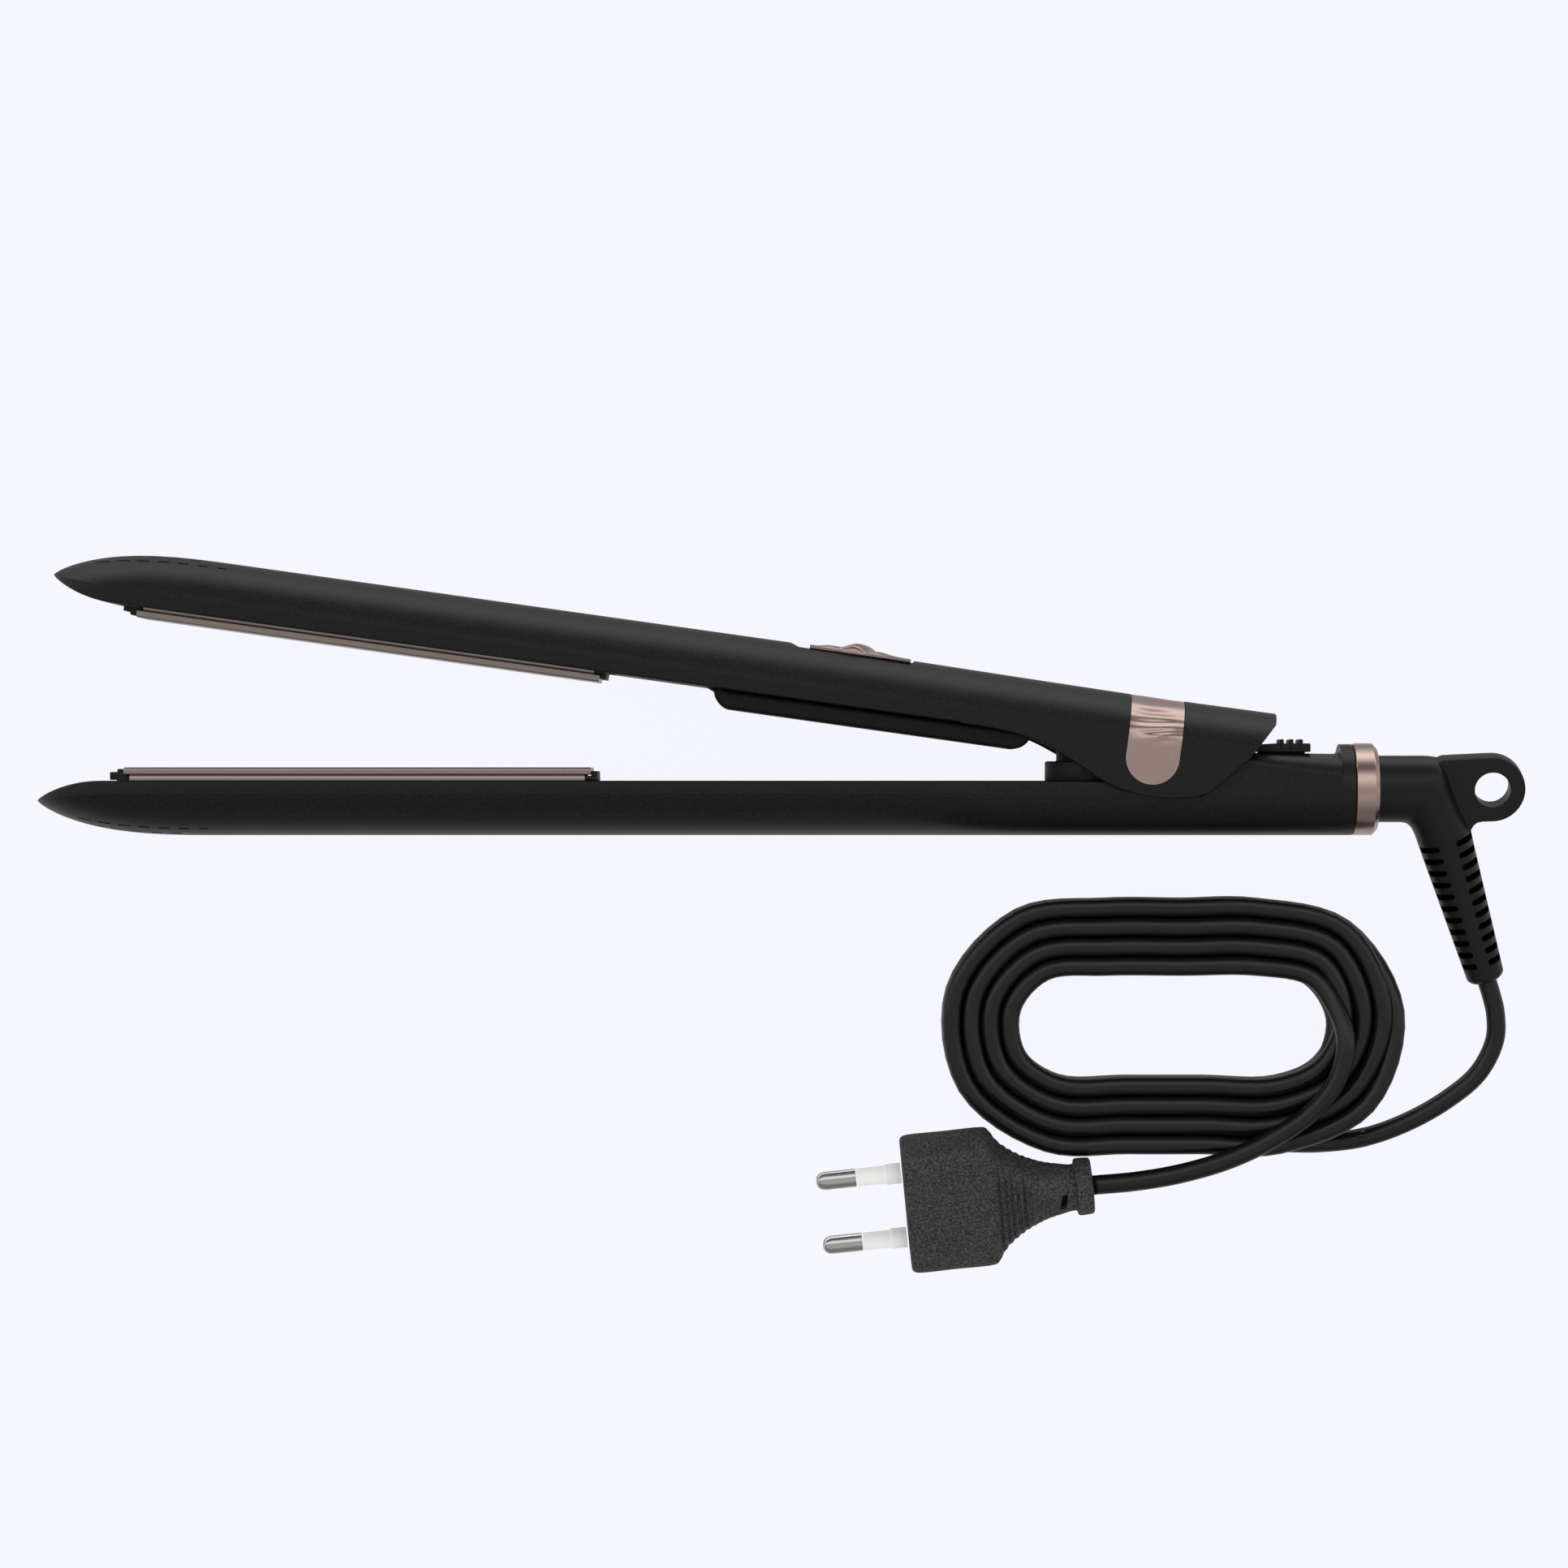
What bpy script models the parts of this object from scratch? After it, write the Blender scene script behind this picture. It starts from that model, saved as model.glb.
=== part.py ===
"""Hair straightener with two hinged arms, floating plates, a swivel cord with a hang loop and a two-pin plug.

The appliance lies on its side on a table at z = 0. The hinge axis is the world Z axis. +X runs along the
lower arm towards the cord and +Y points at the upper arm. Every length below is in millimetres.
"""

import math

import bmesh
import bpy
from mathutils import Matrix, Vector

MM = 0.001
GAP = 0.3                    # between neighbouring solids
OPEN_ANGLE = math.radians(8.0)

# Arms
HALF_WIDTH = 15.0
MID_Z = HALF_WIDTH           # the arms' mid-plane, above the table
LOWER_TIP = Vector((-253.7, -4.2))
LOWER_FACE, LOWER_SPRING, LOWER_CROWN = 0.2, -2.5, -11.75
UPPER_TIP = Vector((-254.0, 10.15))
UPPER_FACE, UPPER_SPRING, UPPER_CROWN = 5.55, 8.75, 17.9
WALL = 2.2
CHEEK_WALL = 2.0
CONTACT_Y = 3.2              # where the two plates meet when the arms are closed

# Heating plates
PLATE_X = (-234.8, -132.4)
PLATE_HALF_WIDTH = 12.4
PLATE_THICK = 1.7
SKIRT_DEPTH, SKIRT_THICK, SKIRT_SHORT = 4.0, 0.9, 0.8   # the plate's folded side edges
BAY_X = (-237.2, -130.0)
BAY_HALF_WIDTH, HANDLE_BAY_HALF_WIDTH = 12.9, 10.7
BAY_DEPTH = (-4.0, 10.2)     # where the bays' straight sides turn into an arch
HANDLE_BAY_END = -37.0

# Hinge
PIN_R, BUSH_R = 2.0, 3.0
REAR_HALF_WIDTH = 12.7       # the lower arm between the cheeks
SPRING_X = -23.0
SPRING_R, SPRING_WIRE_R = 4.4, 0.55

# Rear end
TRACK_FLOOR, REAR_TOP = 6.8, 8.2
BODY_END, RING_START, RING_END = 35.1, 35.4, 40.4
SWIVEL_Y = -1.6
SLIDER_X = (13.0, 24.9)
TRACK_X = (11.5, 31.5)

# Switch on the upper arm
LAND_Y, LAND_X = 17.06, (-90.1, -62.9)
SWITCH_HALF_WIDTH = 5.6

# Swivel boot
TUBE_R = 7.3
DROOP = math.radians(14.1)
LOOP_CENTRE = Vector((65.1, -1.2))
LOOP_R, LOOP_HOLE_R, LOOP_THICK = 7.2, 3.9, 5.5
RELIEF_LEAN = math.radians(17.7)
RELIEF_START, RELIEF_END = Vector((53.6, -8.0)), Vector((65.1, -44.9))
RELIEF_R = (6.25, 4.1)

# Cord, coil and plug
CORD_R = 2.15
STRANDS, LAYERS = 4, 3
COIL_CENTRE = Vector((-4.4, -53.8))
COIL_HOLE = (68.0, 22.0)
PLUG_TURN = math.radians(6.0)
PLUG_LEAN = math.radians(37.0)   # its upper edge rests on the coil
PLUG_COLLAR = Vector((-22.1, -88.6, 13.4))

collection = None
cutters = None


# ---------------------------------------------------------------- helpers

def new_mesh_object(name, bm, home, smooth_angle=35.0):
    bmesh.ops.recalc_face_normals(bm, faces=bm.faces)
    mesh = bpy.data.meshes.new(name)
    bm.to_mesh(mesh)
    bm.free()
    mesh.shade_smooth()
    mesh.set_sharp_from_angle(angle=math.radians(smooth_angle))
    obj = bpy.data.objects.new(name, mesh)
    home.objects.link(obj)
    if home is cutters:
        obj.hide_render = True
        obj.display_type = "WIRE"
    return obj


def cut_with(target, tool, operation="DIFFERENCE"):
    modifier = target.modifiers.new(tool.name, "BOOLEAN")
    modifier.operation = operation
    modifier.object = tool
    modifier.solver = "EXACT"


def bevel(obj, width, segments=1, angle=40.0):
    modifier = obj.modifiers.new("edges", "BEVEL")
    modifier.width = width * MM
    modifier.segments = segments
    modifier.limit_method = "ANGLE"
    modifier.angle_limit = math.radians(angle)


def paint(obj, colour, roughness, metallic=0.0):
    name = "%s_material" % obj.name
    material = bpy.data.materials.new(name)
    material.use_nodes = True
    shader = material.node_tree.nodes["Principled BSDF"]
    shader.inputs["Base Color"].default_value = (*colour, 1.0)
    shader.inputs["Roughness"].default_value = roughness
    shader.inputs["Metallic"].default_value = metallic
    obj.data.materials.append(material)
    return obj


def box(name, low, high, home):
    bm = bmesh.new()
    bmesh.ops.create_cube(bm, size=1.0)
    size = [(b - a) * MM for a, b in zip(low, high)]
    middle = [(a + b) / 2 * MM for a, b in zip(low, high)]
    bmesh.ops.scale(bm, verts=bm.verts, vec=size)
    bmesh.ops.translate(bm, verts=bm.verts, vec=middle)
    return new_mesh_object(name, bm, home)


def rod(name, start, end, radius, home, sides=24, end_radius=None):
    """A cylinder or cone between two points."""
    start, end = Vector(start) * MM, Vector(end) * MM
    along = end - start
    bm = bmesh.new()
    bmesh.ops.create_cone(
        bm, cap_ends=True, segments=sides, radius1=radius * MM,
        radius2=(radius if end_radius is None else end_radius) * MM, depth=along.length,
    )
    turn = Vector((0, 0, 1)).rotation_difference(along).to_matrix().to_4x4()
    bmesh.ops.transform(bm, verts=bm.verts, matrix=Matrix.Translation((start + end) / 2) @ turn)
    return new_mesh_object(name, bm, home)


def outline_solid(name, points, z_low, z_high, home):
    """A flat outline in XY, thickened from z_low to z_high."""
    curve = bpy.data.curves.new(name, "CURVE")
    curve.dimensions = "2D"
    curve.fill_mode = "BOTH"
    curve.extrude = (z_high - z_low) / 2 * MM
    spline = curve.splines.new("POLY")
    spline.points.add(len(points) - 1)
    for slot, point in zip(spline.points, points):
        slot.co = (point[0] * MM, point[1] * MM, 0.0, 1.0)
    spline.use_cyclic_u = True
    drawn = bpy.data.objects.new(name + "_outline", curve)
    bpy.context.scene.collection.objects.link(drawn)
    bpy.context.view_layer.update()
    graph = bpy.context.evaluated_depsgraph_get()
    bm = bmesh.new()
    bm.from_mesh(bpy.data.meshes.new_from_object(drawn.evaluated_get(graph)))
    bmesh.ops.remove_doubles(bm, verts=bm.verts, dist=1e-6)
    bmesh.ops.translate(bm, verts=bm.verts, vec=(0, 0, (z_low + z_high) / 2 * MM))
    bpy.data.objects.remove(drawn)
    return new_mesh_object(name, bm, home)


def smooth_line(points, per_span=4):
    """Points along a centripetal Catmull-Rom curve through the given points."""
    pts = [Vector(p) for p in points]
    line = []
    for i in range(len(pts) - 1):
        b, c = pts[i], pts[i + 1]
        a = pts[i - 1] if i else b + (b - c)
        d = pts[i + 2] if i + 2 < len(pts) else c + (c - b)
        t1 = (b - a).length ** 0.5
        t2 = t1 + (c - b).length ** 0.5
        t3 = t2 + (d - c).length ** 0.5
        for k in range(per_span):
            t = t1 + (t2 - t1) * k / per_span
            ab = a * ((t1 - t) / t1) + b * (t / t1)
            bc = b * ((t2 - t) / (t2 - t1)) + c * ((t - t1) / (t2 - t1))
            cd = c * ((t3 - t) / (t3 - t2)) + d * ((t - t2) / (t3 - t2))
            abc = ab * ((t2 - t) / t2) + bc * (t / t2)
            bcd = bc * ((t3 - t) / (t3 - t1)) + cd * ((t - t1) / (t3 - t1))
            line.append(abc * ((t2 - t) / (t2 - t1)) + bcd * ((t - t1) / (t2 - t1)))
    line.append(pts[-1])
    return line


def arc(centre, radius, first, last, steps):
    """Points on an arc, with its angles in degrees."""
    turn = [math.radians(first + (last - first) * i / steps) for i in range(steps + 1)]
    return [Vector((centre[0] + radius * math.cos(a), centre[1] + radius * math.sin(a))) for a in turn]


# ---------------------------------------------------------------- arm sections and lofts

ARCH_STEPS = 14
EDGE_R = 0.5


def arm_section(face, spring, crown, half_width, roundness=0.0):
    """(y, z) points of a D section: a flat face, short straight sides and an arch.

    A roundness of 1 turns the flat half into an arch too, which makes the section an oval.
    """
    points = []
    for i in range(ARCH_STEPS + 1):
        a = math.pi * i / ARCH_STEPS
        points.append(Vector((spring + (crown - spring) * math.sin(a), half_width * math.cos(a))))
    side = half_width - EDGE_R
    toward = 1.0 if face > spring else -1.0
    shoulder = face - toward * EDGE_R
    squares = [(shoulder, -half_width), (face, -side), (face, -side * 0.6), (face, 0.0),
               (face, side * 0.6), (face, side), (shoulder, half_width)]
    for k, (y, z) in enumerate(squares):
        a = math.pi * (k + 1) / (len(squares) + 1)
        oval = Vector((spring + (face - spring) * math.sin(a), -half_width * math.cos(a)))
        points.append(Vector((y, z)).lerp(oval, roundness))
    return points


def loft(name, stations, home):
    """stations: (x, [(y, z), ...]) from one end to the other, all with as many points."""
    bm = bmesh.new()
    rings = []
    for x, section in stations:
        rings.append([bm.verts.new((x * MM, y * MM, (z + MID_Z) * MM)) for y, z in section])
    for here, there in zip(rings, rings[1:]):
        for i in range(len(here)):
            j = (i + 1) % len(here)
            bm.faces.new((here[i], here[j], there[j], there[i]))
    bm.faces.new(rings[0])
    bm.faces.new(rings[-1])
    return new_mesh_object(name, bm, home)


def rise(distance, run, power, sharpness):
    """0 at the tip of a nose and 1 from the distance run on."""
    left = max(0.0, 1.0 - distance / run)
    return (1.0 - left ** power) ** sharpness


NOSE_STEPS = (0.3, 1.1, 2.6, 4.8, 8.0, 12.0, 17.0, 25.0, 40.0)


def arm_stations(tip, face, spring, crown, inset=0.0):
    """The nose of an arm, from its tip to where the section is full. inset makes the inside of the wall."""
    stations = []
    for step in NOSE_STEPS:
        out = rise(step, 40.0, 3.0, 0.8)
        flat = rise(step, 11.0, 2.2, 0.85)
        wide = rise(step, 19.0, 2.3, 0.52)
        y_face = tip.y + (face - tip.y) * flat
        y_crown = tip.y + (crown - tip.y) * out
        y_spring = tip.y + (spring - tip.y) * min(out, flat)
        sign = 1.0 if crown > face else -1.0
        stations.append((tip.x + step + inset, arm_section(
            y_face, y_spring, y_crown - sign * inset, (HALF_WIDTH - inset) * wide)))
    return stations


def bay_stations(face, spring, crown, end):
    """The hollow of an arm: a wide bay for the plate, then a narrower one in the handle."""
    front = spring + (crown - spring) * 0.8
    return [
        (BAY_X[0], arm_section(face, spring, front, BAY_HALF_WIDTH)),
        (BAY_X[0] + 5.0, arm_section(face, spring, crown, BAY_HALF_WIDTH)),
        (BAY_X[1], arm_section(face, spring, crown, BAY_HALF_WIDTH)),
        (BAY_X[1] + 0.4, arm_section(face, spring, crown, HANDLE_BAY_HALF_WIDTH)),
        (end, arm_section(face, spring, crown, HANDLE_BAY_HALF_WIDTH)),
    ]


def rear_half_width(x):
    """The lower arm narrows between x = -60 and -40, so that it passes between the cheeks."""
    t = min(1.0, max(0.0, (x + 60.0) / 20.0))
    return HALF_WIDTH + (REAR_HALF_WIDTH - HALF_WIDTH) * t * t * (3 - 2 * t)


def lower_arm_stations():
    stations = arm_stations(LOWER_TIP, LOWER_FACE, LOWER_SPRING, LOWER_CROWN)
    for x in (-130.0, -60.0, -55.0, -50.0, -45.0, -40.0, -12.6):
        stations.append((x, arm_section(LOWER_FACE, LOWER_SPRING, LOWER_CROWN, rear_half_width(x))))
    for x, top in ((-8.0, 4.4), (-6.0, TRACK_FLOOR), (TRACK_X[1] - 0.1, TRACK_FLOOR)):
        t = max(0.0, x / 35.0)
        section = arm_section(top, LOWER_SPRING + t, LOWER_CROWN, REAR_HALF_WIDTH, 0.55 * t)
        stations.append((x, section))
    for x in (TRACK_X[1], BODY_END):
        stations.append((x, arm_section(REAR_TOP, SWIVEL_Y, LOWER_CROWN, REAR_HALF_WIDTH, 0.75)))
    return stations


# ---------------------------------------------------------------- lower arm

BLACK = (0.018, 0.018, 0.019)
DARK = (0.035, 0.035, 0.036)
ROSE = (0.62, 0.42, 0.37)
STEEL = (0.55, 0.55, 0.56)
BRASS = (0.55, 0.40, 0.16)


def make_lower_shell():
    shell = loft("lower_shell", lower_arm_stations(), collection)
    bay = bay_stations(4.0, BAY_DEPTH[0], LOWER_CROWN + WALL, HANDLE_BAY_END)
    cut_with(shell, loft("lower_bay_cut", bay, cutters))
    cut_with(shell, rod("hinge_hole_cut", (0, 0, 0), (0, 0, 30), BUSH_R + GAP, cutters))
    cut_with(shell, rod("wire_way_cut", (-40, -6.2, 15), (14, -6.2, 15), 2.6, cutters, 16))
    cut_with(shell, rod("socket_cut", (12.5, SWIVEL_Y, 15), (40, SWIVEL_Y, 15), 7.0, cutters))
    cut_with(shell, box("slider_slot_cut", (TRACK_X[0] + 1.7, 5.9, 10.5), (30.9, 9.0, 19.5), cutters))
    paint(shell, DARK, 0.45)


def make_lower_cover():
    half = HANDLE_BAY_HALF_WIDTH - GAP
    cover = box("lower_inner_cover", (-129.3, LOWER_FACE - 1.5, MID_Z - half),
                (HANDLE_BAY_END - GAP, LOWER_FACE, MID_Z + half), collection)
    bevel(cover, 0.3)
    paint(cover, BLACK, 0.5)


def make_plate_unit(side, sign, face_y, parent):
    """Plate, carrier, heater and two cushions. sign is +1 where the plate faces +Y."""
    half = PLATE_HALF_WIDTH

    def slab(name, x, depth_from, depth_to, width, home=None):
        ys = sorted((face_y - sign * depth_from, face_y - sign * depth_to))
        return box(name, (x[0], ys[0], MID_Z - width), (x[1], ys[1], MID_Z + width), home or collection)

    plate = slab("%s_plate" % side, PLATE_X, 0.0, PLATE_THICK, half)
    bevel(plate, 0.4, 2)
    skirts = []
    for number, edge in enumerate((-1.0, 1.0), 1):
        ys = sorted((face_y - sign, face_y - sign * SKIRT_DEPTH))
        zs = sorted((MID_Z + edge * (half - SKIRT_THICK), MID_Z + edge * half))
        skirt = box("%s_skirt_%d_add" % (side, number), (PLATE_X[0] + SKIRT_SHORT, ys[0], zs[0]),
                    (PLATE_X[1] - SKIRT_SHORT, ys[1], zs[1]), cutters)
        cut_with(plate, skirt, "UNION")
        skirts.append(skirt)
    paint(plate, (0.38, 0.30, 0.27), 0.25, 0.9)
    carrier = slab("%s_plate_carrier" % side, (PLATE_X[0] - 1.6, PLATE_X[1] + 1.6), 0.9, 5.2,
                   half - SKIRT_THICK - GAP)
    seat = slab("%s_carrier_cut" % side, (PLATE_X[0] - GAP, PLATE_X[1] + GAP), 0.0, PLATE_THICK + GAP, half + 2,
                cutters)
    groove = slab("%s_heater_cut" % side, (-220.0, -147.0), 0.0, 3.8, 8.3, cutters)
    cut_with(carrier, seat)
    cut_with(carrier, groove)
    paint(carrier, BLACK, 0.55)
    heater = slab("%s_heater" % side, (-219.0, -148.0), PLATE_THICK + GAP, 3.5, 8.0)
    paint(heater, (0.75, 0.72, 0.66), 0.6)
    pieces = [plate, carrier, heater] + skirts
    for end, x in (("front", -226.0), ("rear", -141.0)):
        cushion = slab("%s_cushion_%s" % (side, end), (x - 5.0, x + 5.0), 5.5, 7.6, 5.0)
        bevel(cushion, 0.4)
        paint(cushion, (0.45, 0.10, 0.06), 0.7)
        pieces.append(cushion)
    for piece in pieces:
        piece.parent = parent
    seat.parent = groove.parent = parent


def make_end_ring():
    stations = []
    for x, inset in ((RING_START, 0.0), (RING_END - 1.0, 0.0), (RING_END, 1.0)):
        stations.append((x, arm_section(REAR_TOP + 0.2 - inset, SWIVEL_Y, LOWER_CROWN + inset,
                                        REAR_HALF_WIDTH - inset, 0.75)))
    ring = loft("end_ring", stations, collection)
    cut_with(ring, rod("ring_hole_cut", (30, SWIVEL_Y, 15), (50, SWIVEL_Y, 15), TUBE_R + GAP, cutters, 32))
    paint(ring, ROSE, 0.22, 1.0)


def make_hinge():
    pin = rod("hinge_pin", (0, 0, 1.2), (0, 0, 28.8), PIN_R, collection)
    paint(pin, STEEL, 0.3, 1.0)
    for name, low, high in (("left", 2.6, 9.0), ("right", 21.0, 27.4)):
        bush = rod("hinge_bush_" + name, (0, 0, low), (0, 0, high), BUSH_R, collection)
        cut_with(bush, rod("bush_%s_cut" % name, (0, 0, low - 1), (0, 0, high + 1), PIN_R + 0.05, cutters))
        paint(bush, BRASS, 0.35, 1.0)


def make_spring_cup():
    cup = rod("spring_cup", (SPRING_X, 0.5, 15), (SPRING_X, 4.45, 15), 9.9, collection, 36)
    drum = rod("cup_drum_add", (SPRING_X, 3.0, 15), (SPRING_X, 7.0, 15), 7.4, cutters, 36)
    well = rod("cup_well_cut", (SPRING_X, 1.5, 15), (SPRING_X, 9.0, 15), 5.6, cutters, 24)
    cut_with(cup, drum, "UNION")
    cut_with(cup, well)
    paint(cup, BLACK, 0.4)


def make_hinge_spring():
    curve = bpy.data.curves.new("hinge_spring", "CURVE")
    curve.dimensions = "3D"
    curve.bevel_depth = SPRING_WIRE_R * MM
    curve.bevel_resolution = 1
    curve.use_fill_caps = True
    turns, per_turn, low, high = 6, 12, 2.4, 16.6
    count = turns * per_turn + 1
    spline = curve.splines.new("POLY")
    spline.points.add(count - 1)
    for i, slot in enumerate(spline.points):
        a = 2 * math.pi * i / per_turn
        y = low + (high - low) * i / (count - 1)
        slot.co = ((SPRING_X + SPRING_R * math.cos(a)) * MM, y * MM,
                   (MID_Z + SPRING_R * math.sin(a)) * MM, 1.0)
    spring = bpy.data.objects.new("hinge_spring", curve)
    collection.objects.link(spring)
    paint(spring, STEEL, 0.3, 1.0)


def make_lock_slider():
    slider = outline_solid("lock_slider", [
        (SLIDER_X[0], TRACK_FLOOR + GAP), (SLIDER_X[1], TRACK_FLOOR + GAP), (SLIDER_X[1], 8.1),
        (23.6, 8.7), (23.3, 9.3), (22.7, 9.3), (22.4, 8.7), (21.6, 8.7), (21.3, 9.3), (20.7, 9.3),
        (20.4, 8.7), (19.5, 8.7), (19.2, 9.3), (18.6, 9.3), (18.3, 8.7), (17.4, 8.7), (SLIDER_X[0], 8.2),
    ], MID_Z - 6.5, MID_Z + 6.5, collection)
    foot = box("slider_foot_add", (14.0, 6.3, MID_Z - 3.8), (23.9, 7.5, MID_Z + 3.8), cutters)
    cut_with(slider, foot, "UNION")
    paint(slider, BLACK, 0.5)


def make_swivel_socket():
    socket = rod("swivel_socket", (13.0, SWIVEL_Y, 15), (34.8, SWIVEL_Y, 15), 6.7, collection)
    cut_with(socket, rod("socket_bore_cut", (16.0, SWIVEL_Y, 15), (40, SWIVEL_Y, 15), 5.0, cutters))
    cut_with(socket, rod("socket_wire_cut", (10, SWIVEL_Y, 15), (20, SWIVEL_Y, 15), 1.6, cutters, 12))
    paint(socket, BRASS, 0.4, 1.0)


def make_lower_inside():
    fuse = rod("thermal_fuse", (-118, -6.5, 15), (-106, -6.5, 15), 2.0, collection, 16)
    paint(fuse, STEEL, 0.4, 1.0)
    for number, x in enumerate((-122.0, -45.0), 1):
        post = rod("lower_screw_post_%d" % number, (x, -9.2, 15), (x, -1.9, 15), 2.6, collection, 16)
        paint(post, BLACK, 0.6)
    for number, x in enumerate((-122.0, -45.0), 1):
        screw_into("lower_screw_%d" % number, x, 0.2, -1.0, None)


def screw_into(name, x, y_face, sign, parent):
    """A countersunk screw head let into a cover, with its shank inside a post below it."""
    hole_head = rod(name + "_head_cut", (x, y_face + sign * -0.5, 15), (x, y_face + sign * 1.0, 15), 2.0, cutters, 16)
    hole_shank = rod(name + "_shank_cut", (x, y_face - sign, 15), (x, y_face + sign * 6.0, 15), 1.2, cutters, 12)
    head = rod(name, (x, y_face + sign * 0.1, 15), (x, y_face + sign * 0.7, 15), 1.7, collection, 16)
    shank = rod(name + "_shank_add", (x, y_face + sign * 0.5, 15), (x, y_face + sign * 5.0, 15), 0.9, cutters, 12)
    slot = box(name + "_slot_cut", (x - 1.2, y_face - 0.35, 14.8), (x + 1.2, y_face + 0.35, 15.2), cutters)
    cut_with(head, shank, "UNION")
    cut_with(head, slot)
    paint(head, STEEL, 0.35, 1.0)
    post_name = name.replace("screw_", "screw_post_")
    side = name.split("_")[0]
    cut_with(bpy.data.objects[side + "_inner_cover"], hole_head)
    cut_with(bpy.data.objects[side + "_inner_cover"], hole_shank)
    cut_with(bpy.data.objects[post_name], hole_shank)
    for piece in (hole_head, hole_shank, head, shank, slot):
        piece.parent = parent


# ---------------------------------------------------------------- upper arm

def upper_arm_stations():
    stations = arm_stations(UPPER_TIP, UPPER_FACE, UPPER_SPRING, UPPER_CROWN)
    for x, roof in ((-130.0, 17.9), (-90.0, 17.9), (-55.0, 17.5), (-16.0, 17.05), (16.5, 17.2)):
        stations.append((x, arm_section(UPPER_FACE, UPPER_SPRING, roof, HALF_WIDTH)))
    return stations


def cheek_outline():
    """The side walls' outline: the belly round the hinge, and the slanted end of the tail."""
    under = smooth_line([
        (-53.0, 5.4), (-44.0, 5.1), (-37.0, 4.1), (-31.1, 2.1), (-27.4, 0.5), (-21.0, -2.5), (-15.0, -4.3),
        (-8.8, -4.8), (-4.4, -4.4), (1.8, -2.6), (5.0, 0.34), (9.6, 5.6)], 2)
    return under + [Vector((11.5, 8.6)), Vector((-53.0, 8.6))]


def band_outline(grow=0.0):
    """The rose band's side view: straight flanks above a half-round end."""
    centre, radius = Vector((-9.9, 3.7)), 5.85 + grow
    return [Vector((-15.75 - grow, 20.0))] + arc(centre, radius, 180, 360, 12) + [Vector((-4.05 + grow, 20.0))]


def make_upper_shell(arm):
    shell = loft("upper_shell", upper_arm_stations(), collection)
    cheeks = outline_solid("cheek_add", cheek_outline(), 0.0, 2 * HALF_WIDTH, cutters)
    tail = outline_solid("tail_cut", [(9.9, 4.0), (15.3, 14.6), (15.3, 16.3), (14.2, 17.4), (14.2, 25), (30, 25),
                                      (30, 4.0)], -1, 31, cutters)
    bay = bay_stations(1.0, BAY_DEPTH[1], UPPER_CROWN - WALL, -53.0)
    bay_cut = loft("upper_bay_cut", bay, cutters)
    hinge_bay = []
    for x in (-54.0, 9.0):
        hinge_bay.append((x, arm_section(-8.0, UPPER_SPRING, 14.9, HALF_WIDTH - CHEEK_WALL)))
    hinge_cut = loft("hinge_bay_cut", hinge_bay, cutters)
    tail_way = box("tail_way_cut", (5.0, -8.0, CHEEK_WALL), (20.0, 11.8, 30.0 - CHEEK_WALL), cutters)
    land = box("switch_land_cut", (LAND_X[0], LAND_Y, 5.0), (LAND_X[1], 25.0, 25.0), cutters)
    stem_slot = box("switch_slot_cut", (-83.5, 10.0, 12.5), (-71.0, 20.0, 17.5), cutters)
    pin_hole = rod("cheek_hole_cut", (0, 0, 0.9), (0, 0, 29.1), PIN_R + 0.05, cutters)
    groove = outline_solid("band_groove_cut", band_outline(GAP), -1.0, 31.0, cutters)
    kept = loft("band_groove_core", [(-20.0, band_core(1.2)), (0.0, band_core(1.2))], cutters)
    cut_with(groove, kept)
    cut_with(shell, cheeks, "UNION")
    for tool in (tail, bay_cut, hinge_cut, tail_way, land, stem_slot, pin_hole, groove):
        cut_with(shell, tool)
    for piece in (shell, cheeks, tail, bay_cut, hinge_cut, tail_way, land, stem_slot, pin_hole, groove, kept):
        piece.parent = arm
    paint(shell, DARK, 0.45)


def band_core(inset):
    """The arm's section carried down past the cheeks, and made smaller all round."""
    return arm_section(-12.0, UPPER_SPRING, 17.08 - inset, HALF_WIDTH - inset)


def make_hinge_band(arm):
    band = outline_solid("hinge_band", band_outline(), -1.0, 31.0, collection)
    outer = loft("band_outer", [(-20.0, band_core(0.05)), (0.0, band_core(0.05))], cutters)
    inner = loft("band_inner", [(-20.0, band_core(0.9)), (0.0, band_core(0.9))], cutters)
    cut_with(band, outer, "INTERSECT")
    cut_with(band, inner)
    for piece in (band, outer, inner):
        piece.parent = arm
    paint(band, ROSE, 0.25, 1.0)


def make_handle_pad(arm):
    end = 4.0
    points = [Vector((-37.0, 5.25)), Vector((-109.0, 5.25))]
    points += arc((-109.0 + end + 2.0, 5.5), end + 0.1, 190, 262, 4)
    points += arc((-37.0 - end - 2.0, 5.5), end + 0.1, 278, 350, 4)
    pad = outline_solid("handle_pad", points, MID_Z - 12.5, MID_Z + 12.5, collection)
    bevel(pad, 1.0, 2, 60.0)
    pad.parent = arm
    paint(pad, (0.004, 0.004, 0.004), 0.35)


def make_upper_cover(arm):
    half = HANDLE_BAY_HALF_WIDTH - GAP
    cover = box("upper_inner_cover", (-129.3, UPPER_FACE, MID_Z - half), (-53.6, UPPER_FACE + 1.5, MID_Z + half),
                collection)
    bevel(cover, 0.3)
    cover.parent = arm
    paint(cover, BLACK, 0.5)


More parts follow.
